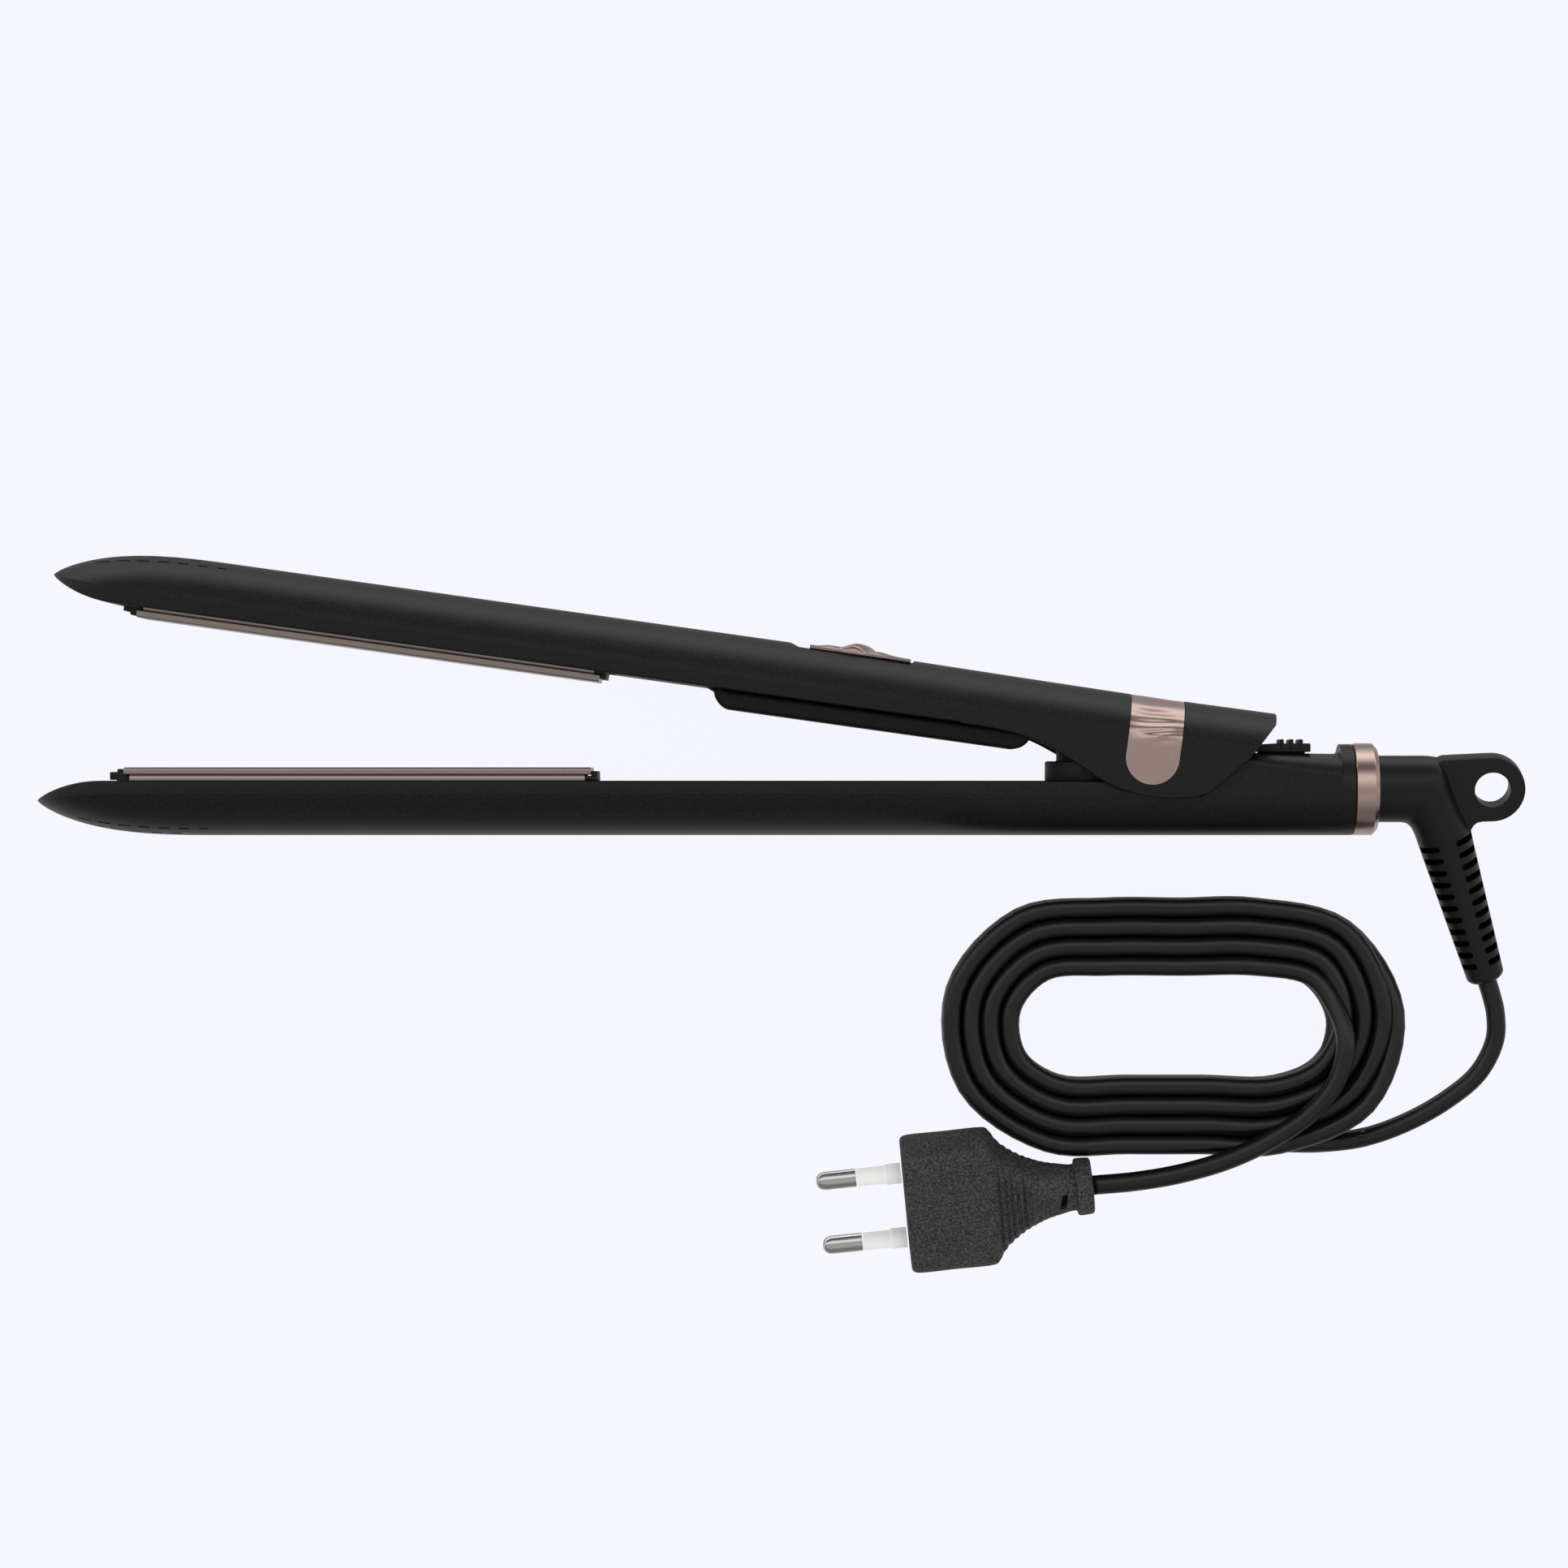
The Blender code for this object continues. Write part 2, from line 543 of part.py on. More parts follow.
def make_heat_switch(arm):
    """A slide switch with a tall hump in the middle and a low one at each end."""
    base = LAND_Y + 0.15
    spans = ((-87.7, 17.5), (-86.3, 18.15), (-83.4, 18.5), (-81.2, 18.1), (-79.2, 18.9), (-76.4, 19.35),
             (-73.6, 18.9), (-71.9, 18.1), (-69.6, 18.5), (-66.8, 18.15), (-65.4, 17.5))
    points = [Vector((-65.4, base)), Vector((-87.7, base))] + [Vector(p) for p in smooth_line(spans, 2)]
    switch = outline_solid("heat_switch", points, MID_Z - SWITCH_HALF_WIDTH, MID_Z + SWITCH_HALF_WIDTH, collection)
    stem = box("switch_stem_add", (-80.5, 13.6, 13.0), (-71.5, 17.6, 17.0), cutters)
    cut_with(switch, stem, "UNION")
    switch.parent = stem.parent = arm
    paint(switch, ROSE, 0.22, 1.0)


def make_upper_inside(arm):
    board = box("control_board", (-104.0, 10.1, 6.0), (-62.0, 11.3, 24.0), collection)
    base = box("switch_base", (-86.0, 11.6, 10.5), (-68.5, 13.3, 19.5), collection)
    relay = box("power_module", (-102.0, 11.6, 8.0), (-90.0, 13.4, 22.0), collection)
    paint(board, (0.02, 0.16, 0.07), 0.5)
    paint(base, BLACK, 0.5)
    paint(relay, (0.05, 0.05, 0.25), 0.4)
    sleeve = rod("spring_sleeve", (SPRING_X, 5.0, 15), (SPRING_X, 12.4, 15), 9.3, collection, 36)
    bore = rod("sleeve_bore_cut", (SPRING_X, 3.0, 15), (SPRING_X, 15.0, 15), 8.1, cutters, 36)
    cut_with(sleeve, bore)
    paint(sleeve, BLACK, 0.45)
    pieces = [board, base, relay, sleeve, bore]
    for number, x in enumerate((-122.0, -57.5), 1):
        post = rod("upper_screw_post_%d" % number, (x, 7.4, 15), (x, 14.6, 15), 2.6, collection, 16)
        paint(post, BLACK, 0.6)
        pieces.append(post)
    for piece in pieces:
        piece.parent = arm
    for number, x in enumerate((-122.0, -57.5), 1):
        screw_into("upper_screw_%d" % number, x, UPPER_FACE, 1.0, arm)


# ---------------------------------------------------------------- swivel boot

def make_boot(swivel):
    """One rubber moulding: round tube, hang loop and tapered strain relief, built level and then drooped."""
    boot = rod("swivel_boot", (RING_START + 0.6, SWIVEL_Y, 15), (51.5, SWIVEL_Y, 15), TUBE_R, collection, 24)
    corner = rod("boot_corner_add", (51.3, SWIVEL_Y, 15), (60.0, SWIVEL_Y - 1.0, 15), TUBE_R - 0.05, cutters, 24, 5.6)
    down = Vector((math.sin(RELIEF_LEAN), -math.cos(RELIEF_LEAN)))
    start = RELIEF_START - down * 6.0
    relief = rod("boot_relief_add", (start.x, start.y, 15), (RELIEF_END.x, RELIEF_END.y, 15),
                 RELIEF_R[0] + 0.3, cutters, 24, RELIEF_R[1])
    half = LOOP_THICK / 2
    web = outline_solid("boot_web_add", [
        (50.0, 3.5), (54.5, 5.4), (65.1, 5.95), (65.1, -8.3), (63.0, -11.5), (62.2, -14.5), (56.0, -13.5)],
        MID_Z - half, MID_Z + half, cutters)
    disc = rod("loop_disc_add", (LOOP_CENTRE.x, LOOP_CENTRE.y, MID_Z - half),
               (LOOP_CENTRE.x, LOOP_CENTRE.y, MID_Z + half), LOOP_R, cutters, 36)
    hole = rod("loop_hole_cut", (LOOP_CENTRE.x, LOOP_CENTRE.y, 0), (LOOP_CENTRE.x, LOOP_CENTRE.y, 30),
               LOOP_HOLE_R, cutters, 28)
    for tool in (corner, relief, web, disc):
        cut_with(boot, tool, "UNION")
    cut_with(boot, hole)
    hub = rod("swivel_hub", (18.0, SWIVEL_Y, 15), (RING_START + 0.3, SWIVEL_Y, 15), 4.7, collection)
    paint(boot, (0.014, 0.013, 0.013), 0.55)
    paint(hub, BRASS, 0.35, 1.0)
    turn = Matrix.Translation(Vector((0, SWIVEL_Y, 15)) * MM) @ Matrix.Rotation(DROOP, 4, "X") \
        @ Matrix.Translation(Vector((0, -SWIVEL_Y, -15)) * MM)
    for piece in (boot, corner, relief, web, disc, hole, hub):
        piece.parent = swivel
        piece.matrix_parent_inverse = swivel.matrix_world.inverted() @ turn


# ---------------------------------------------------------------- cord and plug

def cord_tube(name, route, per_span):
    """A plain tube along a smooth curve through the points of the route."""
    line = smooth_line(route, per_span)
    curve = bpy.data.curves.new(name, "CURVE")
    curve.dimensions = "3D"
    curve.bevel_depth = CORD_R * MM
    curve.bevel_resolution = 2
    curve.use_fill_caps = True
    spline = curve.splines.new("POLY")
    spline.points.add(len(line) - 1)
    for slot, point in zip(spline.points, line):
        slot.co = (*(point * MM), 1.0)
    tube = bpy.data.objects.new(name, curve)
    collection.objects.link(tube)
    paint(tube, (0.008, 0.008, 0.008), 0.45)


def make_cord():
    cord_tube("cord_lead", [
        (66.4, -46.6, 4.0), (67.6, -51.0, 2.9), (67.4, -57.0, 2.25), (63.5, -64.5, 2.2), (56.5, -70.4, 2.2),
        (48.0, -75.2, 2.2), (38.6, -78.8, 2.2)], 3)
    cord_tube("cord_tail", [
        (33.2, -57.0, 15.1), (31.2, -65.5, 15.1), (25.5, -72.6, 15.1), (17.5, -78.1, 15.1), (8.0, -82.7, 14.9),
        (-2.5, -86.0, 13.0), (-12.5, -87.8, 12.4), (-21.8, -88.6, 13.4)], 3)
    outline = []
    reach = STRANDS * 2 * CORD_R
    radius = COIL_HOLE[1] / 2 + reach
    straight = (COIL_HOLE[0] - COIL_HOLE[1]) / 2
    for side, first in ((1, -90), (-1, 90)):
        centre = (COIL_CENTRE.x + side * straight, COIL_CENTRE.y)
        outline += arc(centre, radius, first, first + 180, 18)
    coil = outline_solid("cord_coil", outline, 0.05, LAYERS * 2 * CORD_R - 0.3, collection)
    hole = []
    for side, first in ((1, -90), (-1, 90)):
        centre = (COIL_CENTRE.x + side * straight, COIL_CENTRE.y)
        hole += arc(centre, COIL_HOLE[1] / 2, first, first + 180, 12)
    cut_with(coil, outline_solid("coil_hole_cut", hole, -2.0, 20.0, cutters))
    bevel(coil, 1.6, 2, 60.0)
    paint(coil, (0.008, 0.008, 0.008), 0.45)


def make_plug(axis):
    """A flat two-pin plug. Its axis is local -X, from the collar to the pins."""
    body = loft("plug_body", [
        (-0.3, plug_section(6.2, 6.2)), (-4.0, plug_section(6.2, 6.2)), (-4.6, plug_section(4.6, 4.6)),
        (-7.5, plug_section(4.9, 4.9)), (-14.0, plug_section(7.5, 5.8)), (-20.0, plug_section(12.5, 6.4)),
        (-22.0, plug_section(17.1, 6.6)), (-23.0, plug_section(17.65, 6.8)), (-40.0, plug_section(17.65, 6.8)),
        (-41.5, plug_section(16.9, 6.2))], collection)
    paint(body, (0.03, 0.03, 0.03), 0.55)
    pieces = [body]
    for number, side in enumerate((1, -1), 1):
        y = side * 9.3
        sleeve = rod("plug_sleeve_%d" % number, (-41.8, y, 15), (-51.5, y, 15), 1.95, collection, 16)
        pin = rod("plug_pin_%d" % number, (-51.8, y, 15), (-60.5, y, 15), 2.0, collection, 16)
        bevel(pin, 0.7, 2)
        paint(sleeve, (0.01, 0.01, 0.01), 0.4)
        paint(pin, (0.7, 0.7, 0.7), 0.15, 1.0)
        pieces += [sleeve, pin]
    place = Matrix.Translation(Vector((0, 0, -MID_Z)) * MM)
    for piece in pieces:
        piece.parent = axis
        piece.matrix_parent_inverse = place


def plug_section(half_width, half_thick):
    """(y, z) points of a long section with round edges."""
    straight = max(0.0, half_width - half_thick)
    points = []
    for side in (1, -1):
        points += [Vector((side * straight + p.x, p.y)) for p in arc((0, 0), half_thick, -90 + 90 * (1 - side),
                                                                    90 + 90 * (1 - side), 9)]
    return points


# ---------------------------------------------------------------- assembly

def empty_at(name, location, rotation):
    empty = bpy.data.objects.new(name, None)
    empty.location = Vector(location) * MM
    empty.rotation_euler = rotation
    collection.objects.link(empty)
    return empty


def main():
    global collection, cutters
    for obj in list(bpy.data.objects):
        bpy.data.objects.remove(obj)
    collection = bpy.data.collections.new("hair_straightener")
    cutters = bpy.data.collections.new("cutters")
    for made in (collection, cutters):
        bpy.context.scene.collection.children.link(made)

    arm = empty_at("upper_arm_axis", (0, 0, 0), (0, 0, -OPEN_ANGLE))
    swivel = empty_at("cord_swivel_axis", (0, SWIVEL_Y, MID_Z), (0, 0, 0))
    plug_axis = empty_at("plug_axis", PLUG_COLLAR, (PLUG_LEAN, 0, PLUG_TURN))
    bpy.context.view_layer.update()

    make_lower_shell()
    make_lower_cover()
    make_plate_unit("lower", 1.0, CONTACT_Y - 0.1, None)
    make_end_ring()
    make_hinge()
    make_spring_cup()
    make_hinge_spring()
    make_lock_slider()
    make_swivel_socket()
    make_lower_inside()

    make_upper_shell(arm)
    make_hinge_band(arm)
    make_handle_pad(arm)
    make_upper_cover(arm)
    make_plate_unit("upper", -1.0, CONTACT_Y + 0.1, arm)
    make_heat_switch(arm)
    make_upper_inside(arm)

    make_boot(swivel)
    make_cord()
    make_plug(plug_axis)


main()
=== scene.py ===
import math

import bmesh
import bpy
from mathutils import Matrix, Vector


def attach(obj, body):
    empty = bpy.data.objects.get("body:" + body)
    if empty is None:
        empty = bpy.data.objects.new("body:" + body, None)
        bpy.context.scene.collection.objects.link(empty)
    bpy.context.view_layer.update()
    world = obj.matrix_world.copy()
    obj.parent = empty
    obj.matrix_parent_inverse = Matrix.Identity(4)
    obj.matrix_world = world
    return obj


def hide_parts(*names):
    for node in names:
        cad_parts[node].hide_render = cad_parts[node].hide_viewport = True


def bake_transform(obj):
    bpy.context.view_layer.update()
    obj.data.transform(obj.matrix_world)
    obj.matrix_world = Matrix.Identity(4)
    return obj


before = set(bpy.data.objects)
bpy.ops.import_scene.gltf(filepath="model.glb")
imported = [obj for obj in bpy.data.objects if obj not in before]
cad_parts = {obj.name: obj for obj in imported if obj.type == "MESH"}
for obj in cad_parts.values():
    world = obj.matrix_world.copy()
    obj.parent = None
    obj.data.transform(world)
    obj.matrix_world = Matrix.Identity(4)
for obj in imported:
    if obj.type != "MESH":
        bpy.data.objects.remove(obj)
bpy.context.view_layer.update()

# ================================================================ Table, light and camera
# A pale table top that glows softly, so nothing on it throws a shadow. The iron lies on its side, and
# the camera looks straight down on it, as a product is shot from a copy stand.

MM = 0.001
MID_Z = 15.0                 # the arms' mid-plane above the table, in mm
PALE = (0.93, 0.93, 1.0)

scene = bpy.context.scene
scene.view_settings.view_transform = "Standard"

camera_data = bpy.data.cameras.new("camera")
camera_data.sensor_width = 36.0
camera_data.lens = 150.0
camera_data.clip_start = 0.05
FRAMED_WIDTH = 0.3439         # metres across the frame at the arms' mid-plane
camera = bpy.data.objects.new("camera", camera_data)
CAMERA_HEIGHT = MID_Z * MM + FRAMED_WIDTH * camera_data.lens / camera_data.sensor_width
camera.location = (-0.09007, -0.00053, CAMERA_HEIGHT)
scene.collection.objects.link(camera)
scene.camera = camera

# The camera sees a pale backdrop. Gloss mirrors long soft light strips that run along the iron, and matt
# colour is lit by an even white tent.
world = bpy.data.worlds.new("studio")
scene.world = world
world.use_nodes = True
sky = world.node_tree
sky.nodes.clear()
backdrop, tent, strips = (sky.nodes.new("ShaderNodeBackground") for _ in range(3))
backdrop.inputs["Color"].default_value = (*PALE, 1.0)
tent.inputs["Color"].default_value = (1.0, 1.0, 1.0, 1.0)
tent.inputs["Strength"].default_value = 0.95
strips.inputs["Strength"].default_value = 1.4

# How bright the strips are by the angle from overhead, in degrees towards the iron's back
STRIPS = ((-180, 0.44), (-150, 0.38), (-122, 0.26), (-104, 0.14), (-62, 0.13), (-42, 0.28), (-25, 0.36), (-8, 0.27),
          (6, 0.26), (18, 0.46), (31, 0.78), (44, 0.66), (57, 0.12), (74, 0.03), (87, 0.26), (98, 1.0), (112, 1.0),
          (124, 0.44), (136, 0.22), (152, 0.18), (166, 0.34), (180, 0.44))
direction = sky.nodes.new("ShaderNodeSeparateXYZ")
sky.links.new(sky.nodes.new("ShaderNodeTexCoord").outputs["Generated"], direction.inputs[0])
angle = sky.nodes.new("ShaderNodeMath")
angle.operation = "ARCTAN2"
sky.links.new(direction.outputs["Y"], angle.inputs[0])
sky.links.new(direction.outputs["Z"], angle.inputs[1])
share = sky.nodes.new("ShaderNodeMapRange")
share.inputs["From Min"].default_value, share.inputs["From Max"].default_value = -math.pi, math.pi
sky.links.new(angle.outputs[0], share.inputs["Value"])
ramp = sky.nodes.new("ShaderNodeValToRGB")
ramp.color_ramp.interpolation = "B_SPLINE"
ramp.color_ramp.elements.remove(ramp.color_ramp.elements[1])
for number, (degrees, level) in enumerate(STRIPS):
    spot = (degrees + 180.0) / 360.0
    stop = ramp.color_ramp.elements.new(spot) if number else ramp.color_ramp.elements[0]
    stop.position, stop.color = spot, (level, level, level, 1.0)
sky.links.new(share.outputs[0], ramp.inputs["Fac"])
sky.links.new(ramp.outputs["Color"], strips.inputs["Color"])
ray = sky.nodes.new("ShaderNodeLightPath")
lit, seen = (sky.nodes.new("ShaderNodeMixShader") for _ in range(2))
for mix, factor, low, high in ((lit, "Is Glossy Ray", tent, strips), (seen, "Is Camera Ray", lit, backdrop)):
    sky.links.new(ray.outputs[factor], mix.inputs["Fac"])
    sky.links.new(low.outputs[0], mix.inputs[1])
    sky.links.new(high.outputs[0], mix.inputs[2])
sky.links.new(seen.outputs[0], sky.nodes.new("ShaderNodeOutputWorld").inputs["Surface"])
world.cycles.sampling_method = "NONE"

table_mesh = bpy.data.meshes.new("table")
TABLE_HALF, TABLE_Z = 4, -0.0002
corners = [(TABLE_HALF * x, TABLE_HALF * y, TABLE_Z) for x, y in ((-1, -1), (1, -1), (1, 1), (-1, 1))]
table_mesh.from_pydata(corners, [], [(0, 1, 2, 3)])
table = bpy.data.objects.new("table", table_mesh)
scene.collection.objects.link(table)
table.visible_glossy = table.visible_diffuse = table.visible_shadow = False
paper = bpy.data.materials.new("table_paper")
paper.use_nodes = True
paper_shader = paper.node_tree.nodes["Principled BSDF"]
paper_shader.inputs["Base Color"].default_value = (0.03, 0.03, 0.03, 1.0)
paper_shader.inputs["Roughness"].default_value = 1.0
paper_shader.inputs["Specular IOR Level"].default_value = 0.0
paper_shader.inputs["Emission Color"].default_value = (*PALE, 1.0)
paper_shader.inputs["Emission Strength"].default_value = 0.9715
table_mesh.materials.append(paper)

# ================================================================ Mains lead
# One black round sheathed lead, 4.3 mm thick and about 2.7 m long. It leaves the strain relief, drops to the
# table, is wound four strands wide and three high, and crosses out over the coil to the plug.


class Wire:
    """A socket in one node tree, with operators that add Math nodes."""

    def __init__(self, tree, socket):
        self.tree, self.socket = tree, socket

    def node(self, kind, settings=None, **inputs):
        """A new node's outputs. An input's name has _ for a space, or is _ and the input's index."""
        made = self.tree.nodes.new(kind)
        for key, value in (settings or {}).items():
            setattr(made, key, value)
        for name, value in inputs.items():
            slot = made.inputs[int(name[1:])] if name[0] == "_" else made.inputs[name.replace("_", " ")]
            if isinstance(value, Wire):
                self.tree.links.new(value.socket, slot)
            else:
                slot.default_value = value
        return [Wire(self.tree, output) for output in made.outputs]

    def maths(self, operation, first, second=0.0):
        return self.node("ShaderNodeMath", {"operation": operation}, _0=first, _1=second)[0]

    def __add__(self, other):
        return self.maths("ADD", self, other)

    def __radd__(self, other):
        return self.maths("ADD", other, self)

    def __sub__(self, other):
        return self.maths("SUBTRACT", self, other)

    def __rsub__(self, other):
        return self.maths("SUBTRACT", other, self)

    def __mul__(self, other):
        return self.maths("MULTIPLY", self, other)

    def __rmul__(self, other):
        return self.maths("MULTIPLY", other, self)

    def between(self, low, high):
        """0 at low and 1 at high, held at both ends."""
        return self.node("ShaderNodeMapRange", None, Value=self, _1=low, _2=high)[0]

    def colour(self, low, high):
        """A colour from low to high by this value."""
        return self.node("ShaderNodeMix", {"data_type": "RGBA"}, _0=self, _6=(*low, 1.0), _7=(*high, 1.0))[2]

    def noise(self, scale, detail=2.0, seed=0.0, stretch=(1.0, 1.0, 1.0), turn=0.0):
        """Noise from 0 to 1 on these coordinates. The scale is in cells per metre."""
        place = self
        if turn or stretch != (1.0, 1.0, 1.0):
            turned = self.node("ShaderNodeMapping", None, Vector=self, Rotation=(0.0, 0.0, turn))[0]
            place = self.node("ShaderNodeMapping", None, Vector=turned, Scale=stretch)[0]
        return self.node("ShaderNodeTexNoise", {"noise_dimensions": "4D"}, Vector=place, W=seed, Scale=scale,
                         Detail=detail, Roughness=0.6)[0]

    def feeds(self, shader, slot):
        self.tree.links.new(self.socket, shader.inputs[slot])

    def raises(self, shader, depth):
        """This value from 0 to 1 as relief of that depth in metres."""
        self.node("ShaderNodeBump", None, Height=self, Distance=depth)[0].feeds(shader, "Normal")


def finish(name, base, rough, metallic=0.0, **fixed):
    """A new material, its Principled shader, and the piece's Object coordinates in metres."""
    material = bpy.data.materials.new(name)
    material.use_nodes = True
    tree = material.node_tree
    shader = tree.nodes["Principled BSDF"]
    shader.inputs["Base Color"].default_value = (*base, 1.0)
    shader.inputs["Roughness"].default_value = rough
    shader.inputs["Metallic"].default_value = metallic
    for key, value in fixed.items():
        shader.inputs[key.replace("_", " ")].default_value = value
    return material, shader, Wire(tree, tree.nodes.new("ShaderNodeTexCoord").outputs["Object"])


def grained(name, low, high, rough, spread, scale, detail=2.0, metallic=0.0, relief=0.0, **fixed):
    """A material whose colour, roughness and relief in metres vary together with one fine noise."""
    middle = [(a + b) / 2 for a, b in zip(low, high)]
    material, shader, at = finish(name, middle, rough, metallic, **fixed)
    grain = at.noise(scale, detail)
    (rough + grain * spread).feeds(shader, "Roughness")
    grain.colour(low, high).feeds(shader, "Base Color")
    if relief:
        grain.raises(shader, relief)
    return material


def smooth_line(points, per_span=4):
    """Points along a centripetal Catmull-Rom curve through the given points, of any dimension."""
    pts = [Vector(p) for p in points]
    line = []
    for i in range(len(pts) - 1):
        b, c = pts[i], pts[i + 1]
        a = pts[i - 1] if i else b + (b - c)
        d = pts[i + 2] if i + 2 < len(pts) else c + (c - b)
        t1 = (b - a).length ** 0.5
        t2 = t1 + (c - b).length ** 0.5
        t3 = t2 + (d - c).length ** 0.5
        for k in range(per_span):
            t = t1 + (t2 - t1) * k / per_span
            ab = a * ((t1 - t) / t1) + b * (t / t1)
            bc = b * ((t2 - t) / (t2 - t1)) + c * ((t - t1) / (t2 - t1))
            cd = c * ((t3 - t) / (t3 - t2)) + d * ((t - t2) / (t3 - t2))
            abc = ab * ((t2 - t) / t2) + bc * (t / t2)
            bcd = bc * ((t3 - t) / (t3 - t1)) + cd * ((t - t1) / (t3 - t1))
            line.append(abc * ((t2 - t) / (t2 - t1)) + bcd * ((t - t1) / (t2 - t1)))
    line.append(pts[-1])
    return line


def smoothstep(t):
    t = min(1.0, max(0.0, t))
    return t * t * (3.0 - 2.0 * t)


def settle(piece, sharp=30.0):
    """The piece's modifiers applied to its mesh, which shades smooth but for edges over that angle."""
    bpy.context.view_layer.update()
    mesh = bpy.data.meshes.new_from_object(piece.evaluated_get(bpy.context.evaluated_depsgraph_get()))
    piece.modifiers.clear()
    piece.data = mesh
    mesh.shade_smooth()
    mesh.set_sharp_from_angle(angle=math.radians(sharp))


def solid(name, bm, sharp=30.0, place=None):
    """A mesh object from a bmesh in millimetres, moved by a matrix in metres."""
    bmesh.ops.remove_doubles(bm, verts=bm.verts, dist=1e-5)
    bmesh.ops.recalc_face_normals(bm, faces=bm.faces)
    mesh = bpy.data.meshes.new(name)
    bm.to_mesh(mesh)
    bm.free()
    mesh.transform(Matrix.Diagonal((MM, MM, MM, 1.0)))
    if place:
        mesh.transform(place)
    mesh.shade_smooth()
    mesh.set_sharp_from_angle(angle=math.radians(sharp))
    piece = bpy.data.objects.new(name, mesh)
    scene.collection.objects.link(piece)
    return piece


def dress(piece, body, slot, material, *nodes):
    """Gives a finished piece its material, its body, and the CAD nodes that it stands for."""
    piece.data.materials.clear()
    piece.data.materials.append(material)
    if nodes:
        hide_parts(*nodes)
    if body:
        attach(piece, body)
    return piece


CORD_R = 2.15
COIL_CENTRE = (-4.4, -53.8)
COIL_HOLE = (68.0, 22.0)
STRANDS = 4
LANES = (0, 1, 2, 3, 3, 2, 1, 0, 0, 1, 2, 3, 3)      # each lap's lane from the outside, and the last one's end
LAYERS = (0, 0, 0, 0, 1, 1, 1, 1, 2, 2, 2, 2, 2)     # each lap's layer from the table
LAP_STEPS = 13


def coil_point(lap):
    """The lead's centre after so many laps, run clockwise from the bottom of the right-hand end.

    A strand changes its lane and layer round the right-hand end.
    """
    turn = int(lap)
    straight = (COIL_HOLE[0] - COIL_HOLE[1]) / 2
    run, bend = 2 * straight, math.pi * (COIL_HOLE[1] / 2 + STRANDS * CORD_R)
    along = (lap - turn) * 2 * (run + bend)
    change = 0.0
    if along < run:
        x, angle = straight - along, -90.0
    elif along < run + bend:
        x, angle = -straight, -90.0 - 180.0 * (along - run) / bend
    elif along < 2 * run + bend:
        x, angle = along - run - bend - straight, 90.0
    else:
        x, angle = straight, 90.0 - 180.0 * (along - 2 * run - bend) / bend
        change = smoothstep((72.0 - angle) / 110.0)
    lane = LANES[turn] + (LANES[turn + 1] - LANES[turn]) * change
    layer = LAYERS[turn] + (LAYERS[turn + 1] - LAYERS[turn]) * change
    radius = COIL_HOLE[1] / 2 + (2 * (STRANDS - lane) - 1) * CORD_R
    a = math.radians(angle)
    return Vector((COIL_CENTRE[0] + x + radius * math.cos(a), COIL_CENTRE[1] + radius * math.sin(a),
                   (2 * layer + 1) * CORD_R + 0.05))


# The lead is gripped inside the relief, leaves its end at the second point and comes down to the table
LEAD_OUT = [(64.2, -40.8, 5.15), (65.1, -43.6, 4.45), (66.3, -47.2, 3.55), (67.3, -51.4, 2.75), (67.2, -57.2, 2.25),
            (63.5, -64.5, 2.2), (56.5, -70.4, 2.2), (48.0, -75.2, 2.2), (38.6, -78.6, 2.2), (28.5, -79.9, 2.2)]
LEAD_TO_PLUG = [(31.0, -49.5, 12.6), (33.2, -57.0, 15.0), (31.2, -65.5, 15.1), (25.5, -72.6, 15.1),
                (17.5, -78.1, 15.1), (8.0, -82.7, 14.9), (-2.5, -86.0, 13.0), (-12.5, -87.8, 12.4),
                (-22.6, -88.65, 13.4)]
LAST_LAP = 11.8
wound = [coil_point(i / LAP_STEPS) for i in range(int(LAST_LAP * LAP_STEPS) + 1)]
SPAN_STEPS = 6
cord_path = [p * MM for p in smooth_line(LEAD_OUT + wound + LEAD_TO_PLUG, SPAN_STEPS)]


def tube(name, path, radius, sides):
    """A round tube with closed ends along the path, in metres."""
    bm = bmesh.new()
    tangent = (path[1] - path[0]).normalized()
    side = tangent.orthogonal().normalized()
    rings = []
    for i, point in enumerate(path):
        ahead = (path[min(i + 1, len(path) - 1)] - path[max(i - 1, 0)]).normalized()
        side = tangent.rotation_difference(ahead) @ side
        tangent = ahead
        side = (side - tangent * side.dot(tangent)).normalized()
        other = tangent.cross(side)
        turns = [2 * math.pi * k / sides for k in range(sides)]
        rings.append([bm.verts.new(point + radius * (side * math.cos(a) + other * math.sin(a))) for a in turns])
    for here, there in zip(rings, rings[1:]):
        for k in range(sides):
            m = (k + 1) % sides
            bm.faces.new((here[k], here[m], there[m], there[k])).smooth = True
    bm.faces.new(list(reversed(rings[0])))
    bm.faces.new(rings[-1])
    mesh = bpy.data.meshes.new(name)
    bm.to_mesh(mesh)
    bm.free()
    piece = bpy.data.objects.new(name, mesh)
    scene.collection.objects.link(piece)
    return piece


cord_sheath, sheath_shader, at = finish("cord_sheath", (0.006, 0.006, 0.006), 0.32, Specular_IOR_Level=0.55)
soft, fine = at.noise(160.0, 3.0), at.noise(2600.0, seed=3.0)
(0.24 + soft * 0.12 + fine * 0.06).feeds(sheath_shader, "Roughness")
soft.colour((0.0025, 0.0025, 0.0026), (0.0055, 0.0053, 0.0053)).feeds(sheath_shader, "Base Color")
(soft * 0.6 + fine * 0.4).raises(sheath_shader, 0.00004)

